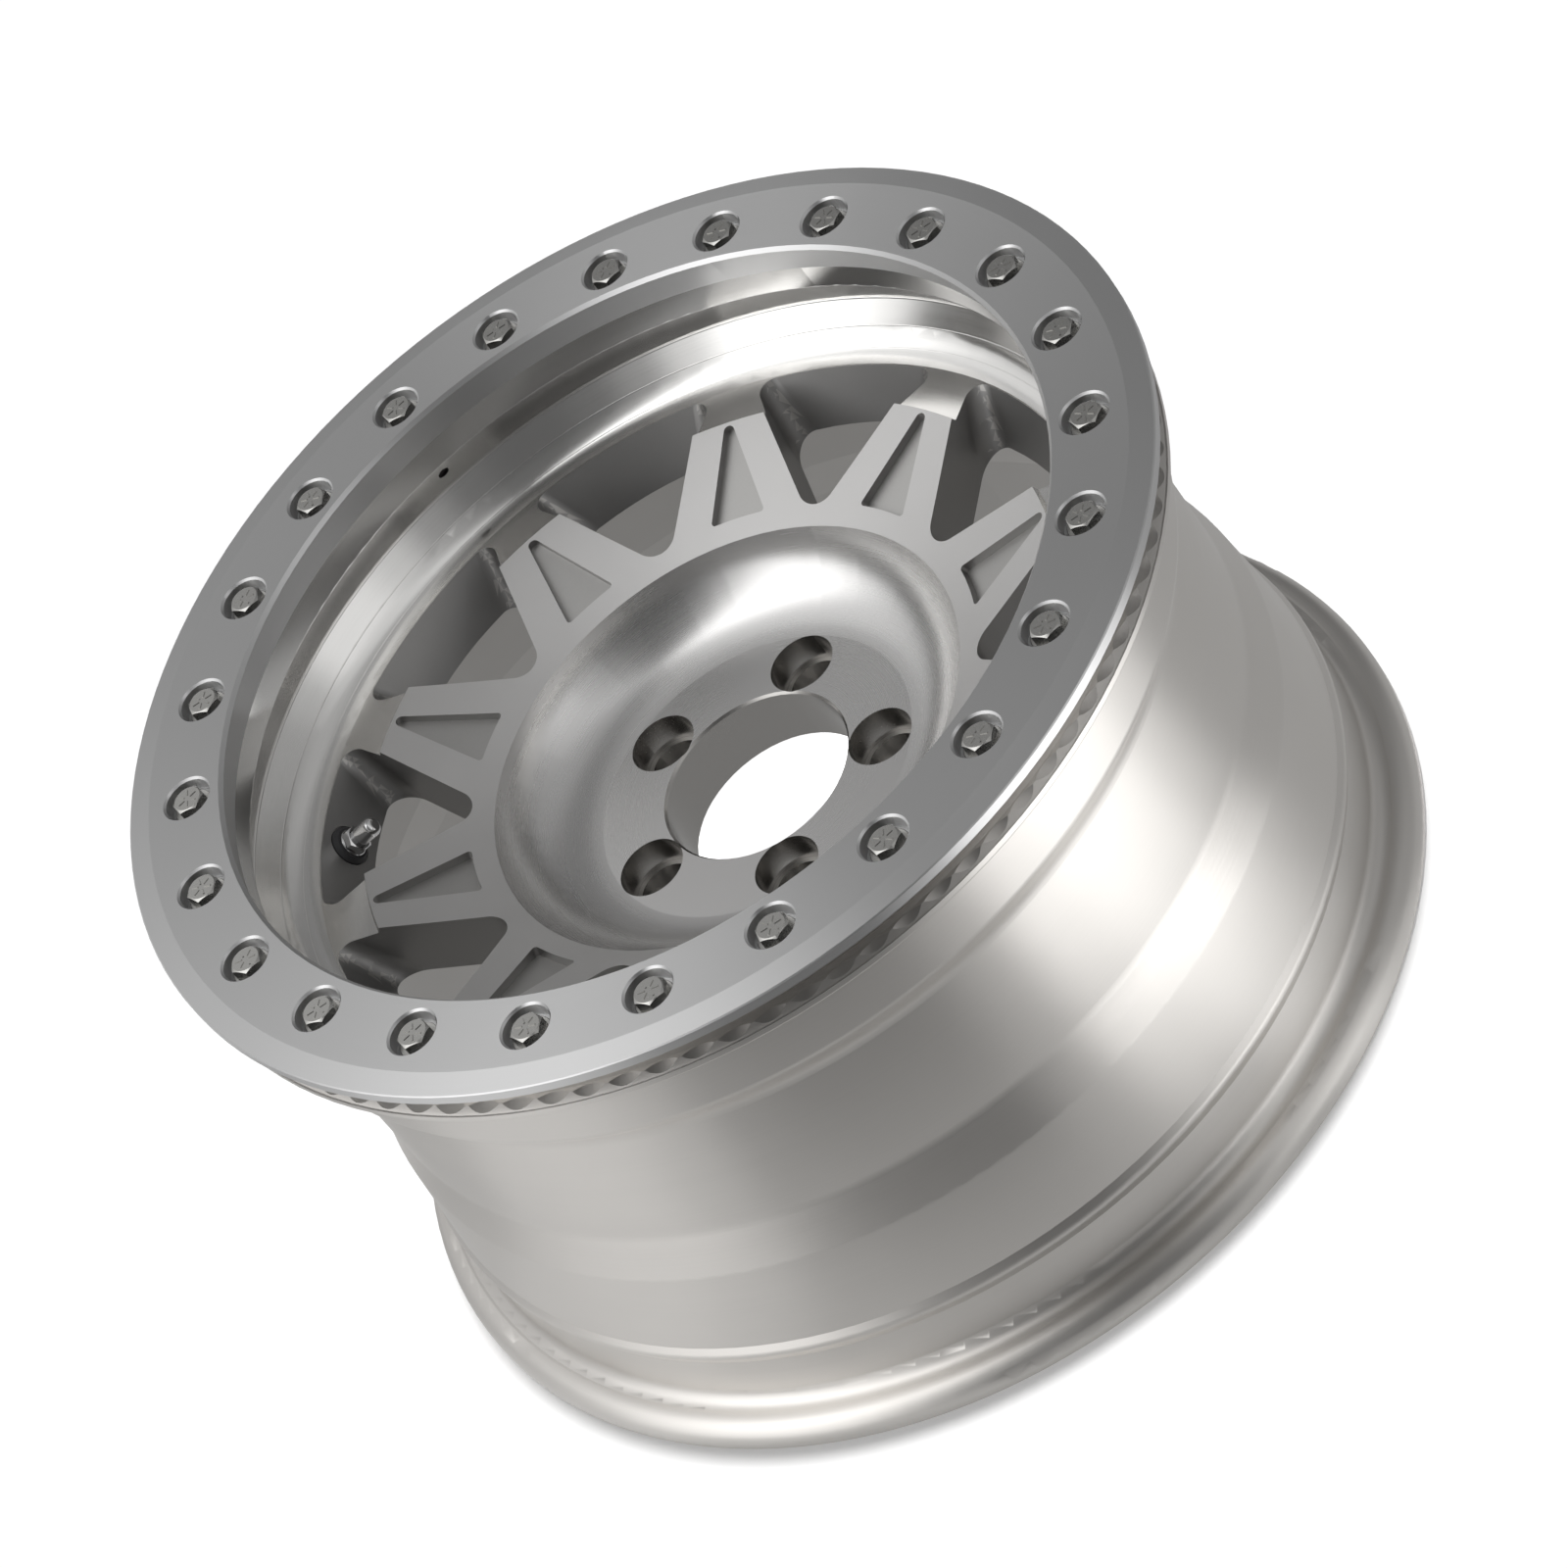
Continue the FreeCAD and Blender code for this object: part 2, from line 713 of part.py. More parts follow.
def draw_pocket(sketch, size):
    """Draw one spoke pocket: an arc at the hub end and two sides that meet in a rounded tip."""
    slant = cone_slant(size)
    base = size.pocket_base_radius * slant
    tip = size.pocket_tip_radius * slant - size.pocket_tip_round
    corner = size.pocket_corner_round.value
    width = size.pocket_base_half.value
    foot = Vector(math.sqrt(base.value ** 2 - width ** 2), width, 0)
    nose = Vector(tip.value, 0, 0)
    radius = size.pocket_tip_round.value
    gap = nose - foot
    lean = math.atan2(-gap.y, gap.x) - math.asin(radius / gap.Length)
    outward = Vector(math.sin(lean), math.cos(lean), 0)
    side = Vector(math.cos(lean), -math.sin(lean), 0)
    start = foot - outward * corner
    along = start.dot(side)
    reach = base.value + corner
    travel = -along + math.sqrt(along * along - start.dot(start) + reach * reach)
    upper = start + side * travel
    lower = Vector(upper.x, -upper.y, 0)
    mirror = Vector(outward.x, -outward.y, 0)
    origin = Vector(0, 0, 0)
    upper_base, lower_base = upper * (base.value / reach), lower * (base.value / reach)
    upper_side, lower_side = upper + outward * corner, lower + mirror * corner
    upper_tip, lower_tip = nose + outward * radius, nose + mirror * radius
    draft = Draft(sketch)
    low_corner = draft.add(circle_arc(lower, corner, lower_base, lower_side))
    low = draft.add(Part.LineSegment(lower_side, lower_tip))
    point = draft.add(circle_arc(nose, radius, lower_tip, upper_tip))
    high = draft.add(Part.LineSegment(upper_tip, upper_side))
    high_corner = draft.add(circle_arc(upper, corner, upper_side, upper_base))
    arc = draft.add(circle_arc(origin, base.value, lower_base, upper_base))
    chain = [low_corner, low, point, high, high_corner]
    for first, second in zip(chain, chain[1:]):
        draft.rule("Tangent", first, 2, second, 1)
    draft.rule("Tangent", high_corner, 2, arc, 2)
    draft.rule("Tangent", arc, 1, low_corner, 1)
    draft.rule("Coincident", arc, 3, *ORIGIN_POINT)
    draft.place(point, 3, tip, 0)
    draft.rule("Radius", arc, size=base)
    draft.rule("Radius", point, size=size.pocket_tip_round)
    draft.rule("Radius", low_corner, size=size.pocket_corner_round)
    draft.rule("Radius", high_corner, size=size.pocket_corner_round)
    for sign, line in ((1, high), (-1, low)):
        guide = draft.add(Part.Point(Vector(foot.x, sign * foot.y, 0)), guide=True)
        draft.rule("PointOnObject", guide, 1, arc)
        draft.rule("PointOnObject", guide, 1, line)
        draft.rule("DistanceY", *ORIGIN_POINT, guide, 1, size=sign * size.pocket_base_half)
    draft.finish()


def cut_grip(body, size):
    """Notch the ridge on the shoulder into a ring of small teeth."""
    start = size.grip_start_radius - size.notch_lead
    sketch = new_sketch(body, "notch_outline", "YZ_Plane", base=(0, 0, start))
    draw_circle(sketch, 0, shoulder_height(size) + size.notch_floor + size.notch_radius, size.notch_radius)
    notch = extrude(body, "grip_notch", sketch, size.shoulder_radius - start, cut=True)
    repeat(body, "grip_notches", [notch], size.grip_count)


def make_window_cutter(doc, size):
    """Shape the windows as solids: their outer wall closes in towards the back."""
    body = new_body(doc, "window_cutter")
    front = channel_height(size) + size.window_front_margin
    back = size.window_back_height
    near = new_sketch(body, "window_front", "XY_Plane", base=(0, 0, front))
    draw_window(near, size, window_wall_radius(size, front), size.window_front_round)
    far = new_sketch(body, "window_back", "XY_Plane", base=(0, 0, back))
    draw_window(far, size, window_wall_radius(size, back), size.window_back_round)
    window = body.newObject("PartDesign::AdditiveLoft", "window")
    window.Profile = far
    window.Sections = [near]
    window.Ruled = True
    repeat(body, "window_ring", [], size.window_count, whole=True)
    return body


def cut_windows(doc, body, size):
    """Cut the windows between the spokes."""
    windows = body.newObject("PartDesign::Boolean", "windows")
    windows.Type = "Cut"
    windows.setObjects([make_window_cutter(doc, size)])


def cut_pockets(body, size):
    """Mill a triangular pocket in each spoke face, on the spoke's own slope, from just outside the metal."""
    slope = math.degrees(math.atan(size.cone_slope.value))
    first = 180 / size.window_count
    rotation = Rotation(Vector(0, 0, 1), first.value) * Rotation(Vector(0, 1, 0), -slope)
    lift = size.through_margin / cone_slant(size)
    back = -1 * size.cone_slope * lift
    start = (back * cosine(first), back * sine(first), size.cone_apex_height + lift)
    sketch = new_sketch(body, "pocket_outline", "XY_Plane", base=start, rotation=rotation)
    draw_pocket(sketch, size)
    depth = size.pocket_depth + size.through_margin
    pocket = extrude(body, "spoke_pocket", sketch, depth, cut=True, ahead=False)
    repeat(body, "spoke_pockets", [pocket], size.window_count)


def cut_lug_holes(body, size):
    """Bore the lug holes: a deep counterbore, a ledge, a conical seat and the hole."""
    centre = size.lug_circle_radius
    seat_drop = (size.lug_seat_radius - size.lug_hole_radius) / tangent(size.lug_seat_half_angle)
    top = size.dish_floor_height + size.through_margin
    below = -size.through_margin
    sketch = new_sketch(body, "lug_outline", "XZ_Plane")
    draw_outline(sketch, [
        Corner(centre, top),
        Corner(centre, below),
        Corner(centre + size.lug_hole_radius, below),
        Corner(centre + size.lug_hole_radius, size.lug_bore_floor - seat_drop),
        Corner(centre + size.lug_seat_radius, size.lug_bore_floor),
        Corner(centre + size.lug_bore_radius, size.lug_bore_floor),
        Corner(centre + size.lug_bore_radius, top),
    ])
    add_axis(sketch, centre)
    hole = revolve(body, "lug_hole", sketch, cut=True, axis="Axis0")
    repeat(body, "lug_holes", [hole], size.lug_count)


def cut_insert_holes(body, size):
    """Bore the holes for the threaded inserts, with room below for the bolt tips."""
    across = size.bolt_circle_radius * cosine(size.bolt_first_angle)
    along = size.bolt_circle_radius * sine(size.bolt_first_angle)
    depth = size.insert_recess + size.insert_length
    steps = []
    for name, radius, length in (("insert_hole", size.insert_radius + size.insert_fit, depth),
                                 ("drill_hole", size.drill_radius, depth + size.drill_extra)):
        sketch = new_sketch(body, name + "_outline", "XY_Plane", base=(0, 0, joint_height(size)))
        draw_circle(sketch, across, along, radius)
        steps.append(extrude(body, name, sketch, length, cut=True, ahead=False))
    repeat(body, "insert_holes", steps, size.bolt_count)


def cut_lip_hole(body, size):
    """Drill the one small blind hole in the flared lip."""
    turn = Rotation(Vector(0, 0, 1), size.lip_hole_angle.value) * Rotation(Vector(0, 1, 0), 90)
    inner = size.land_radius - size.lip_hole_lead
    base = (inner * cosine(size.lip_hole_angle), inner * sine(size.lip_hole_angle), size.lip_hole_height)
    sketch = new_sketch(body, "lip_hole_outline", "XY_Plane", base=base, rotation=turn)
    draw_circle(sketch, 0, 0, size.lip_hole_radius)
    extrude(body, "lip_hole", sketch, size.lip_hole_bottom - inner, cut=True)


def valve_turn(size):
    """Rotation that takes +Z to the valve's axis, square to the window wall."""
    tilt = math.degrees(math.atan(wall_taper(size).value)) - 90
    return Rotation(Vector(0, 0, 1), size.valve_angle.value) * Rotation(Vector(0, 1, 0), tilt)


def valve_seat(size):
    """Centre of the spot face that the valve sits on, as three Sizes."""
    slant = root(1 + wall_taper(size) * wall_taper(size))
    wall = window_wall_radius(size, size.valve_seat_height)
    radius = wall + size.valve_spot_depth / slant
    height = size.valve_seat_height - size.valve_spot_depth * wall_taper(size) / slant
    return radius * cosine(size.valve_angle), radius * sine(size.valve_angle), height


def valve_axis(size):
    """Unit direction of the valve, from its seat into the window, as three Sizes."""
    slant = root(1 + wall_taper(size) * wall_taper(size))
    inward = -1 / slant
    return inward * cosine(size.valve_angle), inward * sine(size.valve_angle), wall_taper(size) / slant


def cut_valve_hole(body, size):
    """Cut the spot face, the hole and the bore that meets it from the tyre side."""
    seat, turn = valve_seat(size), valve_turn(size)
    spot = new_sketch(body, "valve_spot_outline", "XY_Plane", base=seat, rotation=turn)
    draw_circle(spot, 0, 0, size.valve_spot_radius)
    extrude(body, "valve_spot", spot, size.valve_spot_radius, cut=True)
    hole = new_sketch(body, "valve_hole_outline", "XY_Plane", base=seat, rotation=turn)
    draw_circle(hole, 0, 0, size.valve_hole_radius)
    extrude(body, "valve_hole", hole, size.valve_wall + size.through_margin, cut=True, ahead=False)
    away = [-item for item in valve_axis(size)]
    start = [place + size.valve_wall * part for place, part in zip(seat, away)]
    bore = new_sketch(body, "valve_bore_outline", "XY_Plane", base=start, rotation=turn)
    draw_circle(bore, 0, 0, size.valve_inner_bore_radius)
    extrude(body, "valve_bore", bore, size.valve_inner_bore_length, cut=True, ahead=False)


def make_wheel(doc, size):
    """Turn the wheel's section, then mill the grip, windows, pockets and holes."""
    body = new_body(doc, "wheel")
    section = new_sketch(body, "wheel_section", "XZ_Plane")
    draw_outline(section, wheel_profile(size))
    revolve(body, "wheel_blank", section)
    cut_grip(body, size)
    cut_windows(doc, body, size)
    cut_pockets(body, size)
    cut_lug_holes(body, size)
    cut_insert_holes(body, size)
    cut_lip_hole(body, size)
    cut_valve_hole(body, size)
    return body


def make_ring(doc, size):
    """Turn the clamping ring and sink its bolt pockets."""
    body = new_body(doc, "beadlock_ring")
    face = size.ring_face_height
    joint = joint_height(size)
    inner = size.ring_inner_radius
    outer = size.ring_outer_radius
    bevel_end = face - size.ring_bevel_drop
    edge = face - size.ring_edge_depth
    section = new_sketch(body, "ring_section", "XZ_Plane")
    draw_outline(section, [
        Corner(size.throat_radius, joint),
        Corner(size.register_radius, joint),
        Corner(size.register_radius, edge - size.ring_lip_drop),
        Corner(outer, edge),
        Corner(outer, bevel_end - size.ring_edge_chamfer),
        Corner(outer - size.ring_edge_chamfer, bevel_end),
        Corner(size.ring_bevel_radius, face),
        Corner(inner + size.ring_inner_chamfer, face),
        Corner(inner, face - size.ring_inner_chamfer),
    ])
    revolve(body, "ring_blank", section)
    centre = size.bolt_circle_radius
    mouth = size.bolt_pocket_radius + size.bolt_pocket_chamfer
    floor = face - size.bolt_pocket_depth
    below = joint - size.through_margin
    pocket = new_sketch(body, "bolt_pocket_outline", "XZ_Plane")
    draw_outline(pocket, [
        Corner(centre, face),
        Corner(centre, below),
        Corner(centre + size.bolt_hole_radius, below),
        Corner(centre + size.bolt_hole_radius, floor),
        Corner(centre + size.bolt_pocket_radius, floor),
        Corner(centre + size.bolt_pocket_radius, face - size.bolt_pocket_chamfer),
        Corner(centre + mouth, face),
    ])
    add_axis(pocket, centre)
    cut = revolve(body, "bolt_pocket", pocket, cut=True, axis="Axis0")
    repeat(body, "bolt_pockets", [cut], size.bolt_count)
    turn_to_bolts(body, size)
    return body


def turn_to_bolts(body, size):
    """Turn a sub-part whose first copy lies on +X to the first bolt."""
    body.Placement = Placement(Vector(0, 0, 0), Rotation(Vector(0, 0, 1), size.bolt_first_angle.value))
    bind(body, "Placement.Rotation.Angle", size.bolt_first_angle)


def make_rings_of(doc, size, name, corners, axis):
    """Turn a small round piece on the bolt circle and repeat it for every bolt."""
    body = new_body(doc, name)
    section = new_sketch(body, name + "_section", "XZ_Plane")
    draw_outline(section, corners)
    add_axis(section, axis)
    revolve(body, name + "_turned", section, axis="Axis0")
    repeat(body, name + "_all", [], size.bolt_count, whole=True)
    turn_to_bolts(body, size)
    return body


def make_washers(doc, size):
    """Flat washers on the floors of the bolt pockets."""
    centre = size.bolt_circle_radius
    floor = size.ring_face_height - size.bolt_pocket_depth
    top = floor + size.washer_thickness
    hole = centre + size.washer_hole_radius
    rim = centre + size.washer_radius
    edge = size.washer_edge_round
    return make_rings_of(doc, size, "ring_washers", [
        Corner(hole, floor),
        Corner(rim, floor),
        Corner(rim, top - edge),
        Corner(rim - edge, top),
        Corner(hole, top),
    ], centre)


def make_inserts(doc, size):
    """Threaded steel inserts just under the wheel's joint face."""
    centre = size.bolt_circle_radius
    top = joint_height(size) - size.insert_recess
    bottom = top - size.insert_length
    hole = centre + size.bolt_radius + size.thread_fit
    rim = centre + size.insert_radius
    return make_rings_of(doc, size, "thread_inserts", [
        Corner(hole, bottom),
        Corner(rim, bottom),
        Corner(rim, top),
        Corner(hole, top),
    ], centre)


def make_bolts(doc, size):
    """Hex head bolts: head with its top corners turned off, plain shank, chamfered tip."""
    body = new_body(doc, "ring_bolts")
    centre = size.bolt_circle_radius
    seat = size.ring_face_height - size.bolt_pocket_depth + size.washer_thickness
    head = new_sketch(body, "head_outline", "XY_Plane", base=(0, 0, seat))
    draw_hexagon(head, centre, size.bolt_head_flats)
    extrude(body, "head", head, size.bolt_head_height)
    cut_hex_crown(body, "head_crown", size, centre, seat + size.bolt_head_height, size.bolt_head_flats)
    tip = seat - size.bolt_length
    shank = new_sketch(body, "shank_section", "XZ_Plane")
    draw_outline(shank, [
        Corner(centre, tip),
        Corner(centre + size.bolt_radius - size.bolt_tip_chamfer, tip),
        Corner(centre + size.bolt_radius, tip + size.bolt_tip_chamfer),
        Corner(centre + size.bolt_radius, seat),
        Corner(centre, seat),
    ])
    add_axis(shank, centre)
    revolve(body, "shank", shank, axis="Axis0")
    repeat(body, "ring_bolts_all", [], size.bolt_count, whole=True)
    turn_to_bolts(body, size)
    return body


def place_on_valve(body, size):
    """Put a sub-part that is built along +Z onto the valve's axis."""
    seat = valve_seat(size)
    body.Placement = Placement(Vector(*[item.value for item in seat]), valve_turn(size))
    for letter, item in zip("xyz", seat):
        bind(body, "Placement.Base." + letter, item)
    return body


def make_turned(doc, size, name, corners):
    """Turn a valve piece from its half section."""
    body = new_body(doc, name)
    section = new_sketch(body, name + "_section", "XZ_Plane")
    draw_outline(section, corners)
    revolve(body, name + "_turned", section)
    return place_on_valve(body, size)


def stack(size):
    """Heights of the clamped stack: top of grommet, washer and nut, and the inner seat."""
    grommet = size.grommet_height
    washer = grommet + size.valve_washer_thickness
    nut = washer + size.valve_nut_height
    return grommet, washer, nut, -size.valve_wall


def make_grommets(doc, size):
    """Rubber seals on both sides of the wall, each with a sleeve in the hole."""
    bore = size.stem_radius + size.stem_fit
    sleeve = size.valve_hole_radius - size.grommet_sleeve_gap
    grommet, _, _, wall = stack(size)
    outer = make_turned(doc, size, "valve_outer_grommet", [
        Corner(bore, -size.grommet_sleeve_length),
        Corner(sleeve, -size.grommet_sleeve_length),
        Corner(sleeve, 0),
        Corner(size.grommet_radius, 0),
        Corner(size.grommet_radius, size.grommet_rim),
        Corner(size.grommet_top_radius, grommet),
        Corner(bore, grommet),
    ])
    inner = make_turned(doc, size, "valve_inner_grommet", [
        Corner(bore, wall - size.inner_grommet_height),
        Corner(size.inner_grommet_radius, wall - size.inner_grommet_height),
        Corner(size.inner_grommet_radius, wall),
        Corner(sleeve, wall),
        Corner(sleeve, wall + size.grommet_sleeve_length),
        Corner(bore, wall + size.grommet_sleeve_length),
    ])
    return [outer, inner]


def make_valve_washer(doc, size):
    """Metal washer between the outer grommet and the nut."""
    bore = size.stem_radius + size.stem_fit
    grommet, washer, _, _ = stack(size)
    rim, edge = size.valve_washer_radius, size.valve_washer_chamfer
    return make_turned(doc, size, "valve_washer", [
        Corner(bore, grommet),
        Corner(rim, grommet),
        Corner(rim, washer - edge),
        Corner(rim - edge, washer),
        Corner(bore, washer),
    ])


def make_valve_nut(doc, size):
    """Hex nut on the stem."""
    _, washer, nut, _ = stack(size)
    body = new_body(doc, "valve_nut")
    outline = new_sketch(body, "nut_outline", "XY_Plane", base=(0, 0, washer))
    draw_hexagon(outline, 0, size.valve_nut_flats)
    extrude(body, "nut_blank", outline, size.valve_nut_height)
    cut_hex_crown(body, "nut_crown", size, 0, nut, size.valve_nut_flats)
    bore = new_sketch(body, "nut_bore_outline", "XY_Plane", base=(0, 0, washer))
    draw_circle(bore, 0, 0, size.stem_radius + size.stem_fit)
    extrude(body, "nut_bore", bore, size.valve_nut_height, cut=True)
    return place_on_valve(body, size)


def make_stem(doc, size):
    """Metal stem: foot on the tyre side, threaded shank, tip for the cap, stepped air way."""
    foot_top = -size.valve_wall - size.inner_grommet_height
    foot = foot_top - size.stem_foot_height
    return make_turned(doc, size, "valve_stem", [
        Corner(size.stem_air_radius, foot),
        Corner(size.stem_foot_radius, foot),
        Corner(size.stem_foot_radius, foot_top),
        Corner(size.stem_radius, foot_top),
        Corner(size.stem_radius, size.stem_shoulder),
        Corner(size.stem_thread_radius, size.stem_shoulder),
        Corner(size.stem_thread_radius, size.stem_tip),
        Corner(size.core_thread_radius, size.stem_tip),
        Corner(size.core_thread_radius, size.core_thread_start),
        Corner(size.stem_chamber_radius, size.core_thread_start),
        Corner(size.stem_chamber_radius, size.stem_chamber_start),
        Corner(size.stem_air_radius, size.stem_chamber_start),
    ])


def make_core(doc, size):
    """Valve core: body, pin with its foot and collar, rubber seat, gasket and spring."""
    guide = size.pin_radius + size.pin_fit
    floor = size.core_barrel_start + size.core_floor
    body = make_turned(doc, size, "valve_core_body", [
        Corner(guide, size.core_barrel_start),
        Corner(size.core_barrel_radius, size.core_barrel_start),
        Corner(size.core_barrel_radius, size.core_head_start),
        Corner(size.core_head_radius, size.core_head_start),
        Corner(size.core_head_radius, size.core_head_top),
        Corner(guide, size.core_head_top),
        Corner(guide, size.core_chamber_top),
        Corner(size.core_chamber_radius, size.core_chamber_top),
        Corner(size.core_chamber_radius, floor),
        Corner(guide, floor),
    ])
    seal_bottom = size.core_barrel_start - size.core_seal_height
    foot = seal_bottom - size.pin_foot_height
    collar = size.pin_collar_start
    pin = make_turned(doc, size, "valve_core_pin", [
        Corner(0, foot),
        Corner(size.pin_foot_radius, foot),
        Corner(size.pin_foot_radius, seal_bottom),
        Corner(size.pin_radius, seal_bottom),
        Corner(size.pin_radius, collar),
        Corner(size.pin_collar_radius, collar),
        Corner(size.pin_collar_radius, collar + size.pin_collar_height),
        Corner(size.pin_radius, collar + size.pin_collar_height),
        Corner(size.pin_radius, size.pin_tip),
        Corner(0, size.pin_tip),
    ])
    seal = make_turned(doc, size, "valve_core_seal", [
        Corner(size.pin_radius, seal_bottom),
        Corner(size.pin_foot_radius, seal_bottom),
        Corner(size.pin_foot_radius, size.core_barrel_start),
        Corner(size.pin_radius, size.core_barrel_start),
    ])
    gasket = make_turned(doc, size, "valve_core_gasket", [
        Corner(size.core_barrel_radius, size.gasket_start),
        Corner(size.stem_chamber_radius, size.gasket_start),
        Corner(size.stem_chamber_radius, size.gasket_start + size.gasket_height),
        Corner(size.core_barrel_radius, size.gasket_start + size.gasket_height),
    ])
    return [body, pin, seal, gasket]


def make_spring(doc, size):
    """Coil spring between the floor of the core and the pin's collar."""
    body = new_body(doc, "valve_core_spring")
    wire = size.spring_wire_radius
    start = size.core_barrel_start + size.core_floor + wire
    height = size.pin_collar_start - wire - start
    section = new_sketch(body, "spring_wire", "XZ_Plane")
    draw_circle(section, size.spring_coil_radius, start, wire)
    coil = body.newObject("PartDesign::AdditiveHelix", "spring_coil")
    coil.Profile = section
    coil.ReferenceAxis = (section, ["V_Axis"])
    coil.Mode = "height-turns-angle"
    coil.Height = height.value
    coil.Turns = size.spring_turns.value
    bind(coil, "Height", height)
    bind(coil, "Turns", size.spring_turns)
    return place_on_valve(body, size)


def make_cap(doc, size):
    """Domed metal cap and the rubber ring inside it."""
    bore = size.stem_thread_radius + size.cap_thread_fit
    seal_top = size.stem_tip + size.cap_seal_height
    rise = size.cap_top - size.cap_dome_start
    run = size.cap_radius - size.cap_flat_radius
    dome = (rise * rise + run * run) / (2 * run)
    cap = make_turned(doc, size, "valve_cap", [
        Corner(bore, size.cap_start),
        Corner(size.cap_radius, size.cap_start),
        Corner(size.cap_radius, size.cap_dome_start),
        Corner(size.cap_flat_radius, size.cap_top, arc=dome),
        Corner(0, size.cap_top),
        Corner(0, seal_top),
        Corner(bore, seal_top),
    ])
    seal = make_turned(doc, size, "valve_cap_seal", [
        Corner(size.cap_seal_inner_radius, size.stem_tip),
        Corner(bore, size.stem_tip),
        Corner(bore, seal_top),
        Corner(size.cap_seal_inner_radius, seal_top),
    ])
    return [cap, seal]


def check(doc, parts):
    """Stop if anything in the document failed or a sub-part has no sound shape."""
    for item in doc.Objects:
        if "Invalid" in item.State or "Error" in item.State:
            raise RuntimeError("%s failed: %s" % (item.Name, item.State))
    for part in parts:
        if part.Shape.isNull() or not part.Shape.isValid():
            raise RuntimeError("%s has no sound shape" % part.Label)


def main():
    """Build every sub-part and write each to its own file."""
    doc = FreeCAD.newDocument("beadlock_wheel")
    size = Sheet(doc, SIZES)
    parts = [
        make_wheel(doc, size),
        make_ring(doc, size),
        make_bolts(doc, size),
        make_washers(doc, size),
        make_inserts(doc, size),
        make_valve_washer(doc, size),
        make_valve_nut(doc, size),
        make_stem(doc, size),
        make_spring(doc, size),
    ]
    parts += make_grommets(doc, size)
    parts += make_core(doc, size)
    parts += make_cap(doc, size)
    doc.recompute()
    check(doc, parts)
    os.makedirs("parts", exist_ok=True)
    for part in parts:
        part.Shape.exportStep("parts/%s.step" % part.Label)
        print("%s: %d solids, %.1f cm3" % (part.Label, len(part.Shape.Solids), part.Shape.Volume / 1000))


main()
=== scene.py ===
"""Looks of the beadlock wheel: its metal and rubber finishes, small details, studio and camera.

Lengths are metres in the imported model's own frame: the wheel's axis is +Z, towards the street side, and the
hub pad lies at z = 0. Angles are degrees about +Z.
"""

import logging
import math
from dataclasses import dataclass
from enum import Enum

import bmesh
import bpy
from mathutils import Matrix, Vector


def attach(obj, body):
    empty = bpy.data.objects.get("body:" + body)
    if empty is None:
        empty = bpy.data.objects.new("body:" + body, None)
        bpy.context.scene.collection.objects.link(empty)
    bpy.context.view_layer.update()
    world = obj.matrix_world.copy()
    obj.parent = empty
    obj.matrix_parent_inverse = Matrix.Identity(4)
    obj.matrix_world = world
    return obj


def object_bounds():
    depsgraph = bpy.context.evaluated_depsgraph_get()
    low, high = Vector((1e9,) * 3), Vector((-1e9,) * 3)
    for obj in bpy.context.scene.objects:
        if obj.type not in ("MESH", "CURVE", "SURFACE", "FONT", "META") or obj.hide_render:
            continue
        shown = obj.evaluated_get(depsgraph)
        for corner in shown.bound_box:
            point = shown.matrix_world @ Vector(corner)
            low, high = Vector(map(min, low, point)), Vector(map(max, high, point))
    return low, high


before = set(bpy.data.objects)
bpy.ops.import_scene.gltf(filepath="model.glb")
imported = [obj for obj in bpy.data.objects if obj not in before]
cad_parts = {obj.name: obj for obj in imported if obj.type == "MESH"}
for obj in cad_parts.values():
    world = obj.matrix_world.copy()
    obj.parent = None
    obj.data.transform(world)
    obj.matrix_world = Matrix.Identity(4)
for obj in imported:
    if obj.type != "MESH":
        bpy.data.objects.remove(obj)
CAD_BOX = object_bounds()

MM = 0.001
WHITE = (1.0, 1.0, 1.0, 1.0)
ROOT_BODY = "wheel"
LOG = logging.getLogger("beadlock_wheel")

# The sRGB curve: straight up to the knee, a power curve above it
SRGB_KNEE = 0.04045
SRGB_FOOT = 12.92
SRGB_LIFT = 0.055
SRGB_POWER = 2.4

# A colour mix node's two colours and its result, by number
FIRST_COLOUR = 6
SECOND_COLOUR = 7
MIXED_COLOUR = 2

# How a metal's marks and clouds mix: the same share of each on a base, mostly between low and high
UNEVEN_SHARE = 0.5
UNEVEN_BASE = 0.25
UNEVEN_LOW = 0.5
UNEVEN_HIGH = 1.0

# The quarter turn that makes turned rings blur a reflection across them
ACROSS_THE_RINGS = 0.25


def linear(code: str) -> tuple[float, float, float, float]:
    """Turn an sRGB hex colour into Blender's linear values.

    Args:
        code: Six hex digits after a hash, such as #d9d7d4.

    Returns:
        Red, green, blue and an alpha of 1.
    """
    parts = [int(code[start:start + 2], 16) / 255 for start in (1, 3, 5)]
    red, green, blue = [((part + SRGB_LIFT) / (1 + SRGB_LIFT)) ** SRGB_POWER if part > SRGB_KNEE
                        else part / SRGB_FOOT for part in parts]
    return red, green, blue, 1.0


def add_node(tree: bpy.types.NodeTree, kind: str, settings: dict | None = None,
             inputs: dict | None = None) -> bpy.types.Node:
    """Add a node to a tree, with its properties and its inputs.

    Args:
        tree: The node tree.
        kind: Blender's name for the kind of node.
        settings: Property values by name.
        inputs: Values, or sockets to link from, by the input's name or number.

    Returns:
        The new node.
    """
    node = tree.nodes.new(kind)
    for name, value in (settings or {}).items():
        setattr(node, name, value)
    for name, value in (inputs or {}).items():
        if isinstance(value, bpy.types.NodeSocket):
            tree.links.new(value, node.inputs[name])
        else:
            node.inputs[name].default_value = value
    return node


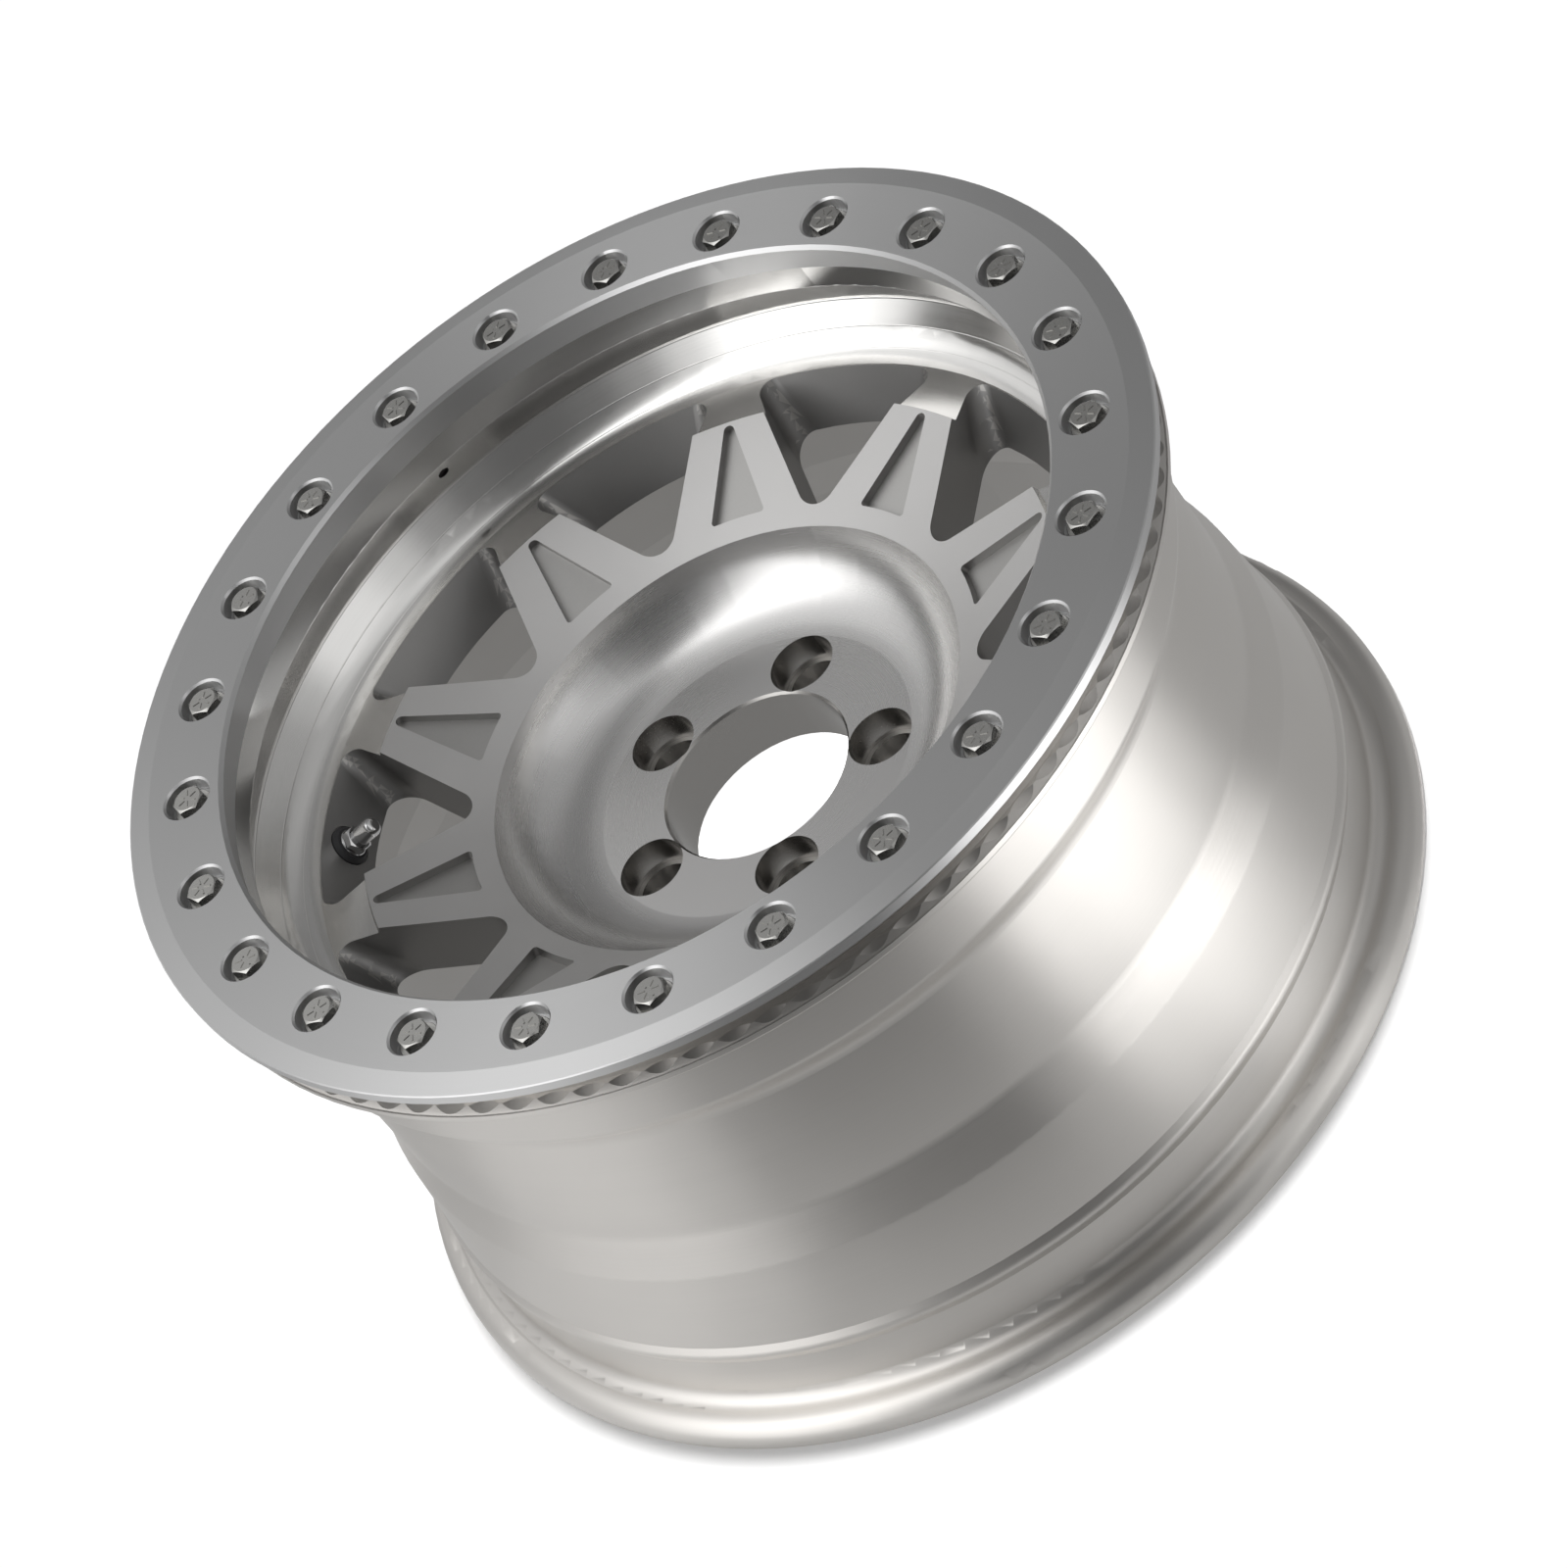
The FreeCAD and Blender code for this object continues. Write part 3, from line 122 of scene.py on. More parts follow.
def new_material(name: str) -> tuple[bpy.types.Material, bpy.types.NodeTree]:
    """Start a material with an empty node tree.

    Args:
        name: The material's name.

    Returns:
        The material and its tree.
    """
    material = bpy.data.materials.new(name)
    material.use_nodes = True
    material.node_tree.nodes.clear()
    return material, material.node_tree


def add_object(name: str, shape: bmesh.types.BMesh, material: bpy.types.Material) -> bpy.types.Object:
    """Put a finished mesh into the scene.

    Args:
        name: The object's name.
        shape: Its mesh, which is freed here.
        material: Its material.

    Returns:
        The object.
    """
    data = bpy.data.meshes.new(name)
    shape.to_mesh(data)
    shape.free()
    data.materials.append(material)
    made = bpy.data.objects.new(name, data)
    bpy.context.scene.collection.objects.link(made)
    return made


class Marks(Enum):
    """Which way the tool's marks run on a surface."""

    TURNED = "rings about the wheel's axis"
    GRAIN = "fine grain the same in every direction"


@dataclass(frozen=True)
class Metal:
    """A metal finish: its colour, how it blurs reflections, and the marks its tool left.

    Real tool marks are 0.1 to 0.3 mm wide here, too fine to show in the render, so they are drawn 0.5 to
    1.4 mm wide.
    """

    name: str
    colour: str
    roughness: float
    marks: Marks
    mark_mm: float
    mark_depth_mm: float
    roughness_spread: float = 0.08
    tint_spread: float = 0.06
    anisotropy: float = 0.0
    mark_harshness: float = 0.6
    bump_strength: float = 0.6
    cloud_mm: float = 71.43
    detail: float = 3.0

    def pattern(self, tree: bpy.types.NodeTree) -> bpy.types.NodeSocket:
        """Lay out the tool marks as a value between 0 and 1.

        Args:
            tree: The material's node tree.

        Returns:
            The socket that holds the pattern.
        """
        place = add_node(tree, "ShaderNodeTexCoord").outputs["Object"]
        if self.marks is Marks.TURNED:
            flat = add_node(tree, "ShaderNodeVectorMath", {"operation": "MULTIPLY"}, {0: place, 1: (1, 1, 0)})
            radius = add_node(tree, "ShaderNodeVectorMath", {"operation": "LENGTH"}, {0: flat.outputs[0]})
            height = add_node(tree, "ShaderNodeSeparateXYZ", None, {0: place}).outputs["Z"]
            place = add_node(tree, "ShaderNodeCombineXYZ", None, {
                "X": radius.outputs["Value"], "Y": height}).outputs[0]
        noise = add_node(tree, "ShaderNodeTexNoise", {"noise_dimensions": "3D"}, {
            "Vector": place, "Scale": 1 / (self.mark_mm * MM), "Detail": self.detail,
            "Roughness": self.mark_harshness})
        return noise.outputs["Fac"]

    def unevenness(self, tree: bpy.types.NodeTree, marks: bpy.types.NodeSocket) -> bpy.types.NodeSocket:
        """Mix the tool marks with broad soft clouds.

        Args:
            tree: The material's node tree.
            marks: The socket that holds the tool marks.

        Returns:
            The socket that holds the mix.
        """
        place = add_node(tree, "ShaderNodeTexCoord").outputs["Object"]
        cloud = add_node(tree, "ShaderNodeTexNoise", None, {
            "Vector": place, "Scale": 1 / (self.cloud_mm * MM), "Detail": self.detail}).outputs["Fac"]
        mixed = add_node(tree, "ShaderNodeMath", {"operation": "MULTIPLY_ADD"}, {
            0: marks, 1: UNEVEN_SHARE, 2: UNEVEN_BASE})
        return add_node(tree, "ShaderNodeMath", {"operation": "MULTIPLY_ADD"}, {
            0: cloud, 1: UNEVEN_SHARE, 2: mixed.outputs[0]}).outputs[0]

    def build(self) -> bpy.types.Material:
        """Make the material.

        Returns:
            The material, with colour and roughness that vary a little and a bump from the marks.
        """
        material, tree = new_material(self.name)
        marks = self.pattern(tree)
        uneven = self.unevenness(tree, marks)
        roughness = add_node(tree, "ShaderNodeMapRange", None, {
            "Value": uneven, "From Min": UNEVEN_LOW, "From Max": UNEVEN_HIGH,
            "To Min": self.roughness - self.roughness_spread,
            "To Max": self.roughness + self.roughness_spread})
        full = linear(self.colour)
        worn = tuple(part * (1 - 2 * self.tint_spread) for part in full[:3]) + (1.0,)
        tint = add_node(tree, "ShaderNodeMix", {"data_type": "RGBA"}, {
            "Factor": uneven, FIRST_COLOUR: worn, SECOND_COLOUR: full})
        bump = add_node(tree, "ShaderNodeBump", None, {
            "Height": marks, "Strength": self.bump_strength, "Distance": self.mark_depth_mm * MM})
        shader = add_node(tree, "ShaderNodeBsdfPrincipled", None, {
            "Base Color": tint.outputs[MIXED_COLOUR], "Metallic": 1.0, "Roughness": roughness.outputs[0],
            "Normal": bump.outputs[0], "Anisotropic": self.anisotropy,
            "Anisotropic Rotation": ACROSS_THE_RINGS})
        if self.anisotropy:
            tangent = add_node(tree, "ShaderNodeTangent", {"direction_type": "RADIAL", "axis": "Z"})
            tree.links.new(tangent.outputs[0], shader.inputs["Tangent"])
        add_node(tree, "ShaderNodeOutputMaterial", None, {"Surface": shader.outputs[0]})
        return material


@dataclass(frozen=True)
class Rubber:
    """A moulded rubber finish, black and slightly dusty."""

    name: str
    colour: str = "#1b1b1c"
    dust: float = 1.8
    ior: float = 1.52
    roughness: float = 0.62
    roughness_spread: float = 0.08
    grain_mm: float = 0.35
    grain_depth_mm: float = 0.02
    grain_detail: float = 2.0
    bump_strength: float = 0.3

    def build(self) -> bpy.types.Material:
        """Make the material.

        Returns:
            The material, with a fine moulded grain.
        """
        material, tree = new_material(self.name)
        place = add_node(tree, "ShaderNodeTexCoord").outputs["Object"]
        grain = add_node(tree, "ShaderNodeTexNoise", None, {
            "Vector": place, "Scale": 1 / (self.grain_mm * MM), "Detail": self.grain_detail}).outputs["Fac"]
        roughness = add_node(tree, "ShaderNodeMapRange", None, {
            "Value": grain, "To Min": self.roughness - self.roughness_spread,
            "To Max": self.roughness + self.roughness_spread})
        dark = linear(self.colour)
        dusty = tuple(part * self.dust for part in dark[:3]) + (1.0,)
        tint = add_node(tree, "ShaderNodeMix", {"data_type": "RGBA"}, {
            "Factor": grain, FIRST_COLOUR: dark, SECOND_COLOUR: dusty})
        bump = add_node(tree, "ShaderNodeBump", None, {
            "Height": grain, "Strength": self.bump_strength, "Distance": self.grain_depth_mm * MM})
        shader = add_node(tree, "ShaderNodeBsdfPrincipled", None, {
            "Base Color": tint.outputs[MIXED_COLOUR], "Metallic": 0.0, "IOR": self.ior,
            "Roughness": roughness.outputs[0], "Normal": bump.outputs[0]})
        add_node(tree, "ShaderNodeOutputMaterial", None, {"Surface": shader.outputs[0]})
        return material


class Finish(Enum):
    """Every finish on the wheel, from what the real metal is and how it was cut; the finishes of the holes
    and the window walls also carry painted shade.
    """

    # Forged aluminium turned with a fine feed: long soft streaks that follow the light round the barrel
    TURNED_BARREL = Metal("turned_aluminium_barrel", "#d8d5d1", roughness=0.35, marks=Marks.TURNED,
                          mark_mm=0.9, mark_depth_mm=0.004, anisotropy=0.75)
    # The same metal turned last and finest: sharp bright and dark streaks between bright edges
    TURNED_LIP = Metal("fine_turned_aluminium_lip", "#eae9e7", roughness=0.15, marks=Marks.TURNED,
                       mark_mm=0.8, mark_depth_mm=0.0015, roughness_spread=0.04, anisotropy=0.85)
    # The edges between the lip's steps are rounded with a polishing stick: thin bright lines
    POLISHED_EDGE = Metal("polished_aluminium_edge", "#f0efed", roughness=0.12, marks=Marks.GRAIN,
                          mark_mm=0.8, mark_depth_mm=0.001, roughness_spread=0.03, tint_spread=0.03)
    # The dish is turned and then rubbed smooth: broad soft highlights and little line
    TURNED_DISH = Metal("satin_turned_aluminium_dish", "#d6d5d4", roughness=0.27, marks=Marks.TURNED,
                        mark_mm=1.1, mark_depth_mm=0.0004, roughness_spread=0.02, tint_spread=0.02,
                        anisotropy=0.2)
    # Spoke faces come off a fine cut: even and satin
    MILLED_FACE = Metal("satin_aluminium_spoke", "#d4d3d2", roughness=0.48, marks=Marks.GRAIN,
                        mark_mm=0.8, mark_depth_mm=0.003)
    # Pocket floors come off a milling cutter: duller, with a visible grain
    MILLED_POCKET = Metal("milled_aluminium_pocket", "#bfbebc", roughness=0.46, marks=Marks.GRAIN,
                          mark_mm=1.1, mark_depth_mm=0.008, tint_spread=0.12)
    # Window walls are cut by the side of a long cutter: dull, and darker by painted shade inside the windows
    MILLED_WALL_PAINTED_SHADE = Metal("milled_aluminium_wall_painted_shade", "#a9a8a7", roughness=0.46, marks=Marks.GRAIN,
                        mark_mm=0.9, mark_depth_mm=0.006, tint_spread=0.1)
    # Holes are bored and left bright: each wall mirrors the light across it. Their darker tone is painted
    # shade in the holes
    BORED_HOLE_PAINTED_SHADE = Metal("bored_aluminium_hole_painted_shade", "#aeaca9", roughness=0.22, marks=Marks.GRAIN,
                       mark_mm=0.8, mark_depth_mm=0.003)
    # The small blind hole in the lip is drilled, with rough walls; its dark colour is painted shade in the
    # hole
    DRILLED_HOLE_PAINTED_SHADE = Metal("drilled_aluminium_hole_painted_shade", "#6f6d6b", roughness=0.5, marks=Marks.GRAIN,
                         mark_mm=0.6, mark_depth_mm=0.004)
    # Behind the spokes the forging is rough turned: plain grey
    ROUGH_TURNED = Metal("rough_turned_aluminium_back", "#c4c2bf", roughness=0.44, marks=Marks.TURNED,
                         mark_mm=1.4, mark_depth_mm=0.010)
    # The ring is machined plate, satin and a little darker: light lies across it in a faint bow tie
    RING_FACE = Metal("satin_aluminium_ring", "#cfcfcf", roughness=0.36, marks=Marks.TURNED,
                      mark_mm=0.6, mark_depth_mm=0.001, roughness_spread=0.03, tint_spread=0.03,
                      anisotropy=0.85)
    # Zinc plated steel: bright where the tool struck, cloudy elsewhere
    ZINC_BOLT = Metal("zinc_plated_steel_bolt", "#b9b8b5", roughness=0.26, marks=Marks.GRAIN,
                      mark_mm=1.0, mark_depth_mm=0.012, roughness_spread=0.08, tint_spread=0.12)
    # Plain steel of the inserts and the valve's spring: even and grey
    PLAIN_STEEL = Metal("plain_steel_insert", "#a8a6a3", roughness=0.4, marks=Marks.GRAIN,
                        mark_mm=0.8, mark_depth_mm=0.004)
    # Nickel and chrome on the valve: mirror bright
    VALVE_PLATING = Metal("chrome_plated_brass_valve", "#dcdcdc", roughness=0.12, marks=Marks.GRAIN,
                          mark_mm=1.2, mark_depth_mm=0.002, roughness_spread=0.04, tint_spread=0.04)
    # Turned brass of the valve core: warm yellow with a soft shine
    CORE_BRASS = Metal("turned_brass_core", "#c9a45c", roughness=0.3, marks=Marks.GRAIN,
                       mark_mm=0.5, mark_depth_mm=0.002)
    # Moulded black rubber of the valve's seals: dull, with a little dust
    VALVE_RUBBER = Rubber("moulded_rubber_seal")

    def material(self) -> bpy.types.Material:
        """Give the finish's material, made at its first use."""
        return bpy.data.materials.get(self.value.name) or self.value.build()


class WheelArea(Enum):
    """The areas of the one-piece wheel, each with the finish of its own cut; the holes and the window walls
    also get painted shade.
    """

    BARREL = Finish.TURNED_BARREL
    LIP = Finish.TURNED_LIP
    DISH = Finish.TURNED_DISH
    SPOKE = Finish.MILLED_FACE
    POCKET = Finish.MILLED_POCKET
    WALL = Finish.MILLED_WALL_PAINTED_SHADE
    HOLE = Finish.BORED_HOLE_PAINTED_SHADE
    LIP_HOLE = Finish.DRILLED_HOLE_PAINTED_SHADE
    BACK = Finish.ROUGH_TURNED


def dress(node: str, finish: Finish) -> bpy.types.Object:
    """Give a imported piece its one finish.

    Args:
        node: The node's name.
        finish: The finish.

    Returns:
        The piece.
    """
    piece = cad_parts[node]
    piece.data.materials.clear()
    piece.data.materials.append(finish.material())
    return piece


def added_piece(name: str, shape: bmesh.types.BMesh, finish: Finish) -> bpy.types.Object:
    """Make a piece that rides on the wheel from a finished mesh.

    Args:
        name: The piece's name.
        shape: Its mesh, which is freed here.
        finish: Its finish.

    Returns:
        The piece.
    """
    piece = add_object(name, shape, finish.material())
    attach(piece, ROOT_BODY)
    return piece


def stage_piece(name: str, shape: bmesh.types.BMesh, material: bpy.types.Material, height: float = 0.0,
                reflected_only: bool = True) -> bpy.types.Object:
    """Make a piece of the studio from a finished mesh.

    Args:
        name: The piece's name.
        shape: Its mesh, which is freed here.
        material: Its material.
        height: How high it lies.
        reflected_only: Whether only reflections see it.

    Returns:
        The piece.
    """
    piece = add_object(name, shape, material)
    piece.location.z = height
    if reflected_only:
        piece.visible_camera = False
        piece.visible_diffuse = False
        piece.visible_transmission = False
        piece.visible_shadow = False
    return piece


@dataclass(frozen=True)
class EdgeRound:
    """A rounded edge that runs round the wheel: its radius, its height and the radius of its rounding."""

    radius: float
    height: float
    round_radius: float = 0.00045

    def build(self, shape: bmesh.types.BMesh, turns: int = 160, sides: int = 8) -> None:
        """Add the round to a mesh as a thin ring.

        Args:
            shape: The mesh that it goes into.
            turns: Facets round the wheel.
            sides: Facets round the edge.
        """
        grid = []
        for turn in range(turns):
            around = 2 * math.pi * turn / turns
            row = []
            for side in range(sides):
                tilt = 2 * math.pi * side / sides
                reach = self.radius + self.round_radius * math.cos(tilt)
                row.append(shape.verts.new((reach * math.cos(around), reach * math.sin(around),
                                            self.height + self.round_radius * math.sin(tilt))))
            grid.append(row)
        for turn in range(turns):
            here, there = grid[turn], grid[(turn + 1) % turns]
            for side in range(sides):
                other = (side + 1) % sides
                shape.faces.new((here[side], there[side], there[other], here[other])).smooth = True


@dataclass
class Wheel:
    """The one-piece wheel: each area of its surface gets its own finish, and the lip its rounded edges."""

    node: str = "wheel"

    # Radii where the barrel, the lip, the windows, the dish and the holes begin or end
    barrel_start: float = 0.2045
    lip_start: float = 0.1602
    window_outer: float = 0.1830
    window_inner: float = 0.1090
    dish_rim: float = 0.1078
    hole_reach: float = 0.0760

    # Heights of the channel's floor behind the lip, the dish's floor and the disc's back
    channel_height: float = 0.0706
    dish_floor: float = 0.0284
    disc_back: float = 0.0150

    # The cone that the spokes' faces lie on
    cone_apex: float = 0.0205
    cone_slope: float = 0.33

    # The small blind hole in the lip
    lip_hole_angle: float = 56.2
    lip_hole_height: float = 0.1026
    lip_hole_bottom: float = 0.1990
    lip_hole_reach: float = 0.0029

    lip_edges: tuple[EdgeRound, ...] = (EdgeRound(0.1928, 0.1091), EdgeRound(0.2022, 0.0898, 0.0004),
                                        EdgeRound(0.1960, 0.0793), EdgeRound(0.1892, 0.0724, 0.0004))

    # How near a facet's centre lies to the surface that it is part of
    near: float = 0.0004

    # Shares of a facet's direction along the axis, or outward from it
    facing: float = 0.9
    sideways: float = 0.5
    rising: float = 0.1
    inward: float = -0.2

    def in_lip_hole(self, centre: Vector, radius: float, outward: float) -> bool:
        """Tell whether a facet is inside the blind hole in the lip.

        Args:
            centre: The facet's centre.
            radius: How far that is from the axis.
            outward: The share of the facet's direction that points away from the axis.

        Returns:
            Whether it is.
        """
        beside = radius * math.sin(math.atan2(centre.y, centre.x) - math.radians(self.lip_hole_angle))
        close = math.hypot(beside, centre.z - self.lip_hole_height) < self.lip_hole_reach and centre.x > 0
        deep = abs(outward) < self.sideways or radius > self.lip_hole_bottom
        return close and deep and radius > self.lip_start

    def area(self, centre: Vector, normal: Vector) -> WheelArea:
        """Tell which area a facet belongs to.

        Args:
            centre: The facet's centre.
            normal: Its direction.

        Returns:
            The area.
        """
        radius = math.hypot(centre.x, centre.y)
        outward = (centre.x * normal.x + centre.y * normal.y) / max(radius, self.near)
        below_face = self.cone_apex + self.cone_slope * radius - centre.z
        if radius > self.barrel_start and (outward > self.inward or centre.z > self.channel_height):
            return WheelArea.BARREL
        # Facets in the lip's blind hole get a dark finish: painted shade
        if self.in_lip_hole(centre, radius, outward):
            return WheelArea.LIP_HOLE
        on_channel = normal.z > self.facing and abs(centre.z - self.channel_height) < self.near
        if radius > self.lip_start and (centre.z > self.channel_height + self.near or on_channel):
            return WheelArea.LIP
        # Hole walls in the hub pad get a darker finish: painted shade in the holes
        in_pad = radius < self.hole_reach and centre.z < self.dish_floor + self.near
        if in_pad and abs(normal.z) < self.facing:
            return WheelArea.HOLE
        if radius < self.dish_rim and centre.z > self.dish_floor - self.near and normal.z > self.rising:
            return WheelArea.DISH
        if radius < self.lip_start and abs(below_face) < self.near:
            return WheelArea.SPOKE
        if radius < self.lip_start and normal.z > self.facing and centre.z > self.dish_floor:
            return WheelArea.POCKET
        # Window walls get a darker finish: painted shade inside the windows
        in_window = self.window_inner < radius < self.window_outer and centre.z > self.disc_back
        if in_window and abs(normal.z) < self.sideways:
            return WheelArea.WALL
        return WheelArea.BACK

    def build_edges(self) -> bpy.types.Object:
        """Round the edges between the lip's steps.

        Returns:
            The piece that holds them all.
        """
        shape = bmesh.new()
        for edge in self.lip_edges:
            edge.build(shape)
        return added_piece("lip_edge_rounds", shape, Finish.POLISHED_EDGE)

    def build(self) -> list[bpy.types.Object]:
        """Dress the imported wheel, area by area.

        Returns:
            The wheel and its rounded edges.
        """
        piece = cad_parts[self.node]
        slots = {}
        piece.data.materials.clear()
        for index, area in enumerate(WheelArea):
            piece.data.materials.append(area.value.material())
            slots[area] = index
        for facet in piece.data.polygons:
            facet.material_index = slots[self.area(facet.center, facet.normal)]
        return [piece, self.build_edges()]


@dataclass
class ClampRing:
    """The bolted ring, its bolts, washers and inserts, and the raised strength lines on the bolt heads."""

    bolt_count: int = 24
    first_angle: float = 10.5
    circle_radius: float = 0.2045
    head_top: float = 0.1382
    mark_count: int = 6
    mark_angle: float = 30.0
    mark_start: float = 0.0014
    mark_end: float = 0.0046
    mark_width: float = 0.0009
    mark_height: float = 0.00028
    mark_round: float = 0.6

    def head_mark(self, shape: bmesh.types.BMesh, place: Matrix) -> None:
        """Add one raised line of a bolt's strength mark.

        Args:
            shape: The mesh that it goes into.
            place: Where the head's centre is, and how the line is turned.
        """
        middle = (self.mark_start + self.mark_end) / 2
        stretch = Matrix.Diagonal((self.mark_end - self.mark_start, self.mark_width, 2 * self.mark_height, 1))
        made = bmesh.ops.create_cube(shape, size=1.0,
                                     matrix=place @ Matrix.Translation((middle, 0, 0)) @ stretch)
        edges = list({edge for corner in made["verts"] for edge in corner.link_edges})
        bmesh.ops.bevel(shape, geom=edges, offset=self.mark_round * self.mark_height, segments=2,
                        affect="EDGES")

    def build_marks(self) -> bpy.types.Object:
        """Raise the plain radial strength lines on every bolt head.

        Returns:
            The piece that holds them all.
        """
        shape = bmesh.new()
        for bolt in range(self.bolt_count):
            turn = math.radians(self.first_angle + 360 / self.bolt_count * bolt)
            centre = Vector((self.circle_radius * math.cos(turn), self.circle_radius * math.sin(turn),
                             self.head_top))
            for mark in range(self.mark_count):
                spin = turn + math.radians(self.mark_angle + 360 / self.mark_count * mark)
                self.head_mark(shape, Matrix.Translation(centre) @ Matrix.Rotation(spin, 4, "Z"))
        return added_piece("bolt_strength_marks", shape, Finish.ZINC_BOLT)

    def build(self) -> list[bpy.types.Object]:
        """Dress the ring and its fasteners.

        Returns:
            The pieces.
        """
        return [
            dress("beadlock_ring", Finish.RING_FACE),
            dress("ring_bolts", Finish.ZINC_BOLT),
            dress("ring_washers", Finish.ZINC_BOLT),
            dress("thread_inserts", Finish.PLAIN_STEEL),
            self.build_marks(),
        ]


@dataclass
class TyreValve:
    """The clamped metal valve with its seals, core and cap."""

    plated: tuple[str, ...] = ("valve_washer", "valve_nut", "valve_stem", "valve_cap")
    rubber: tuple[str, ...] = ("valve_outer_grommet", "valve_inner_grommet", "valve_core_seal",
                               "valve_core_gasket", "valve_cap_seal")
    brass: tuple[str, ...] = ("valve_core_body", "valve_core_pin")
    steel: tuple[str, ...] = ("valve_core_spring",)

    def build(self) -> list[bpy.types.Object]:
        """Dress the valve's pieces.

        Returns:
            The pieces.
        """
        finishes = ((self.plated, Finish.VALVE_PLATING), (self.rubber, Finish.VALVE_RUBBER),
                    (self.brass, Finish.CORE_BRASS), (self.steel, Finish.PLAIN_STEEL))
        return [dress(name, finish) for names, finish in finishes for name in names]


@dataclass(frozen=True)
class Panel:
    """One lit or dark panel beside the wheel: its azimuth and width in degrees, and how bright it is."""

    azimuth: float
    width: float
    brightness: float
    edge_power: int = 4

    def share(self, azimuth: float) -> float:
        """Tell how much of what lies at an azimuth is this panel: half at its edges, all in its middle."""
        away = abs((azimuth - self.azimuth + 180) % 360 - 180)
        return 0.5 ** ((2 * away / self.width) ** self.edge_power)


@dataclass(frozen=True)
class Surround:
    """A plain cloth all the way round the wheel with panels on it.

    Its brightness is laid out every step degrees, as a share of the full one.
    """

    cloth: float
    panels: tuple[Panel, ...]
    step: int = 12
    full: float = 3.0

    def level(self, azimuth: float) -> float:
        """Give the brightness at an azimuth, where later panels hang in front of earlier ones.

        Args:
            azimuth: The azimuth in degrees.

        Returns:
            The brightness.
        """
        level = self.cloth
        for panel in self.panels:
            level += (panel.brightness - level) * panel.share(azimuth)
        return level

    def ramp(self, tree: bpy.types.NodeTree) -> bpy.types.NodeSocket:
        """Lay the brightness out by azimuth, from the -X side round.

        Args:
            tree: The material's node tree.

        Returns:
            The socket that holds the share of the full brightness.
        """
        place = add_node(tree, "ShaderNodeTexCoord").outputs["Object"]
        turn = add_node(tree, "ShaderNodeTexGradient", {"gradient_type": "RADIAL"}, {"Vector": place})
        node = add_node(tree, "ShaderNodeValToRGB", None, {"Fac": turn.outputs["Fac"]})
        node.color_ramp.interpolation = "EASE"
        band = node.color_ramp.elements
        while len(band) > 1:
            band.remove(band[-1])
        for azimuth in range(0, 361, self.step):
            stop = band[0] if azimuth == 0 else band.new(azimuth / 360)
            stop.position = azimuth / 360
            share = self.level(azimuth - 180) / self.full
            stop.color = (share, share, share, 1.0)
        return node.outputs["Color"]


class Along(Enum):
    """What a glowing cloth changes along, by the name of the node output that measures it."""

    HEIGHT = "Z"
    DISTANCE = "Value"


def blended_glow(name: str, first: Surround, second: Surround, along: Along, start: float,
                 end: float) -> bpy.types.Material:
    """Make a glowing cloth that changes from one surround to another.

    Args:
        name: The material's name.
        first: The surround up to the start.
        second: The surround from the end on.
        along: What it changes along: its height or the distance from its middle.
        start: Where the change starts.
        end: Where it ends.

    Returns:
        The material.
    """
    material, tree = new_material(name)
    place = add_node(tree, "ShaderNodeTexCoord").outputs["Object"]
    if along is Along.HEIGHT:
        measure = add_node(tree, "ShaderNodeSeparateXYZ", None, {0: place})
    else:
        measure = add_node(tree, "ShaderNodeVectorMath", {"operation": "LENGTH"}, {0: place})
    change = add_node(tree, "ShaderNodeMapRange", {"interpolation_type": "SMOOTHSTEP"}, {
        "Value": measure.outputs[along.value], "From Min": start, "From Max": end})
    tone = add_node(tree, "ShaderNodeMix", {"data_type": "RGBA"}, {
        "Factor": change.outputs[0], FIRST_COLOUR: first.ramp(tree), SECOND_COLOUR: second.ramp(tree)})
    glow = add_node(tree, "ShaderNodeEmission", None, {
        "Color": tone.outputs[MIXED_COLOUR], "Strength": first.full})
    add_node(tree, "ShaderNodeOutputMaterial", None, {"Surface": glow.outputs[0]})
    return material


@dataclass(frozen=True)
class LightTent:
    """The studio's cloth tent, lit from outside: bright to the wheel's left and right, dim by the camera."""

    radius: float = 4.0
    low: Surround = Surround(0.35, (
        Panel(25, 62, 0.16), Panel(95, 50, 0.65), Panel(152, 52, 1.50), Panel(222, 55, 0.10),
        Panel(279, 32, 1.00)))
    high: Surround = Surround(0.42, (
        Panel(18, 56, 0.25), Panel(80, 50, 0.90), Panel(140, 66, 2.15), Panel(222, 50, 0.15),
        Panel(285, 40, 0.72)))
    low_top: float = 0.15
    high_start: float = 0.85
    facets: int = 64

    def build(self) -> bpy.types.Object:
        """Hang the tent round the wheel.

        Returns:
            The tent.
        """
        material = blended_glow("tent_cloth", self.low, self.high, Along.HEIGHT,
                                self.low_top * self.radius, self.high_start * self.radius)
        shape = bmesh.new()
        bmesh.ops.create_uvsphere(shape, u_segments=self.facets, v_segments=self.facets // 2,
                                  radius=self.radius)
        return stage_piece("light_tent", shape, material)


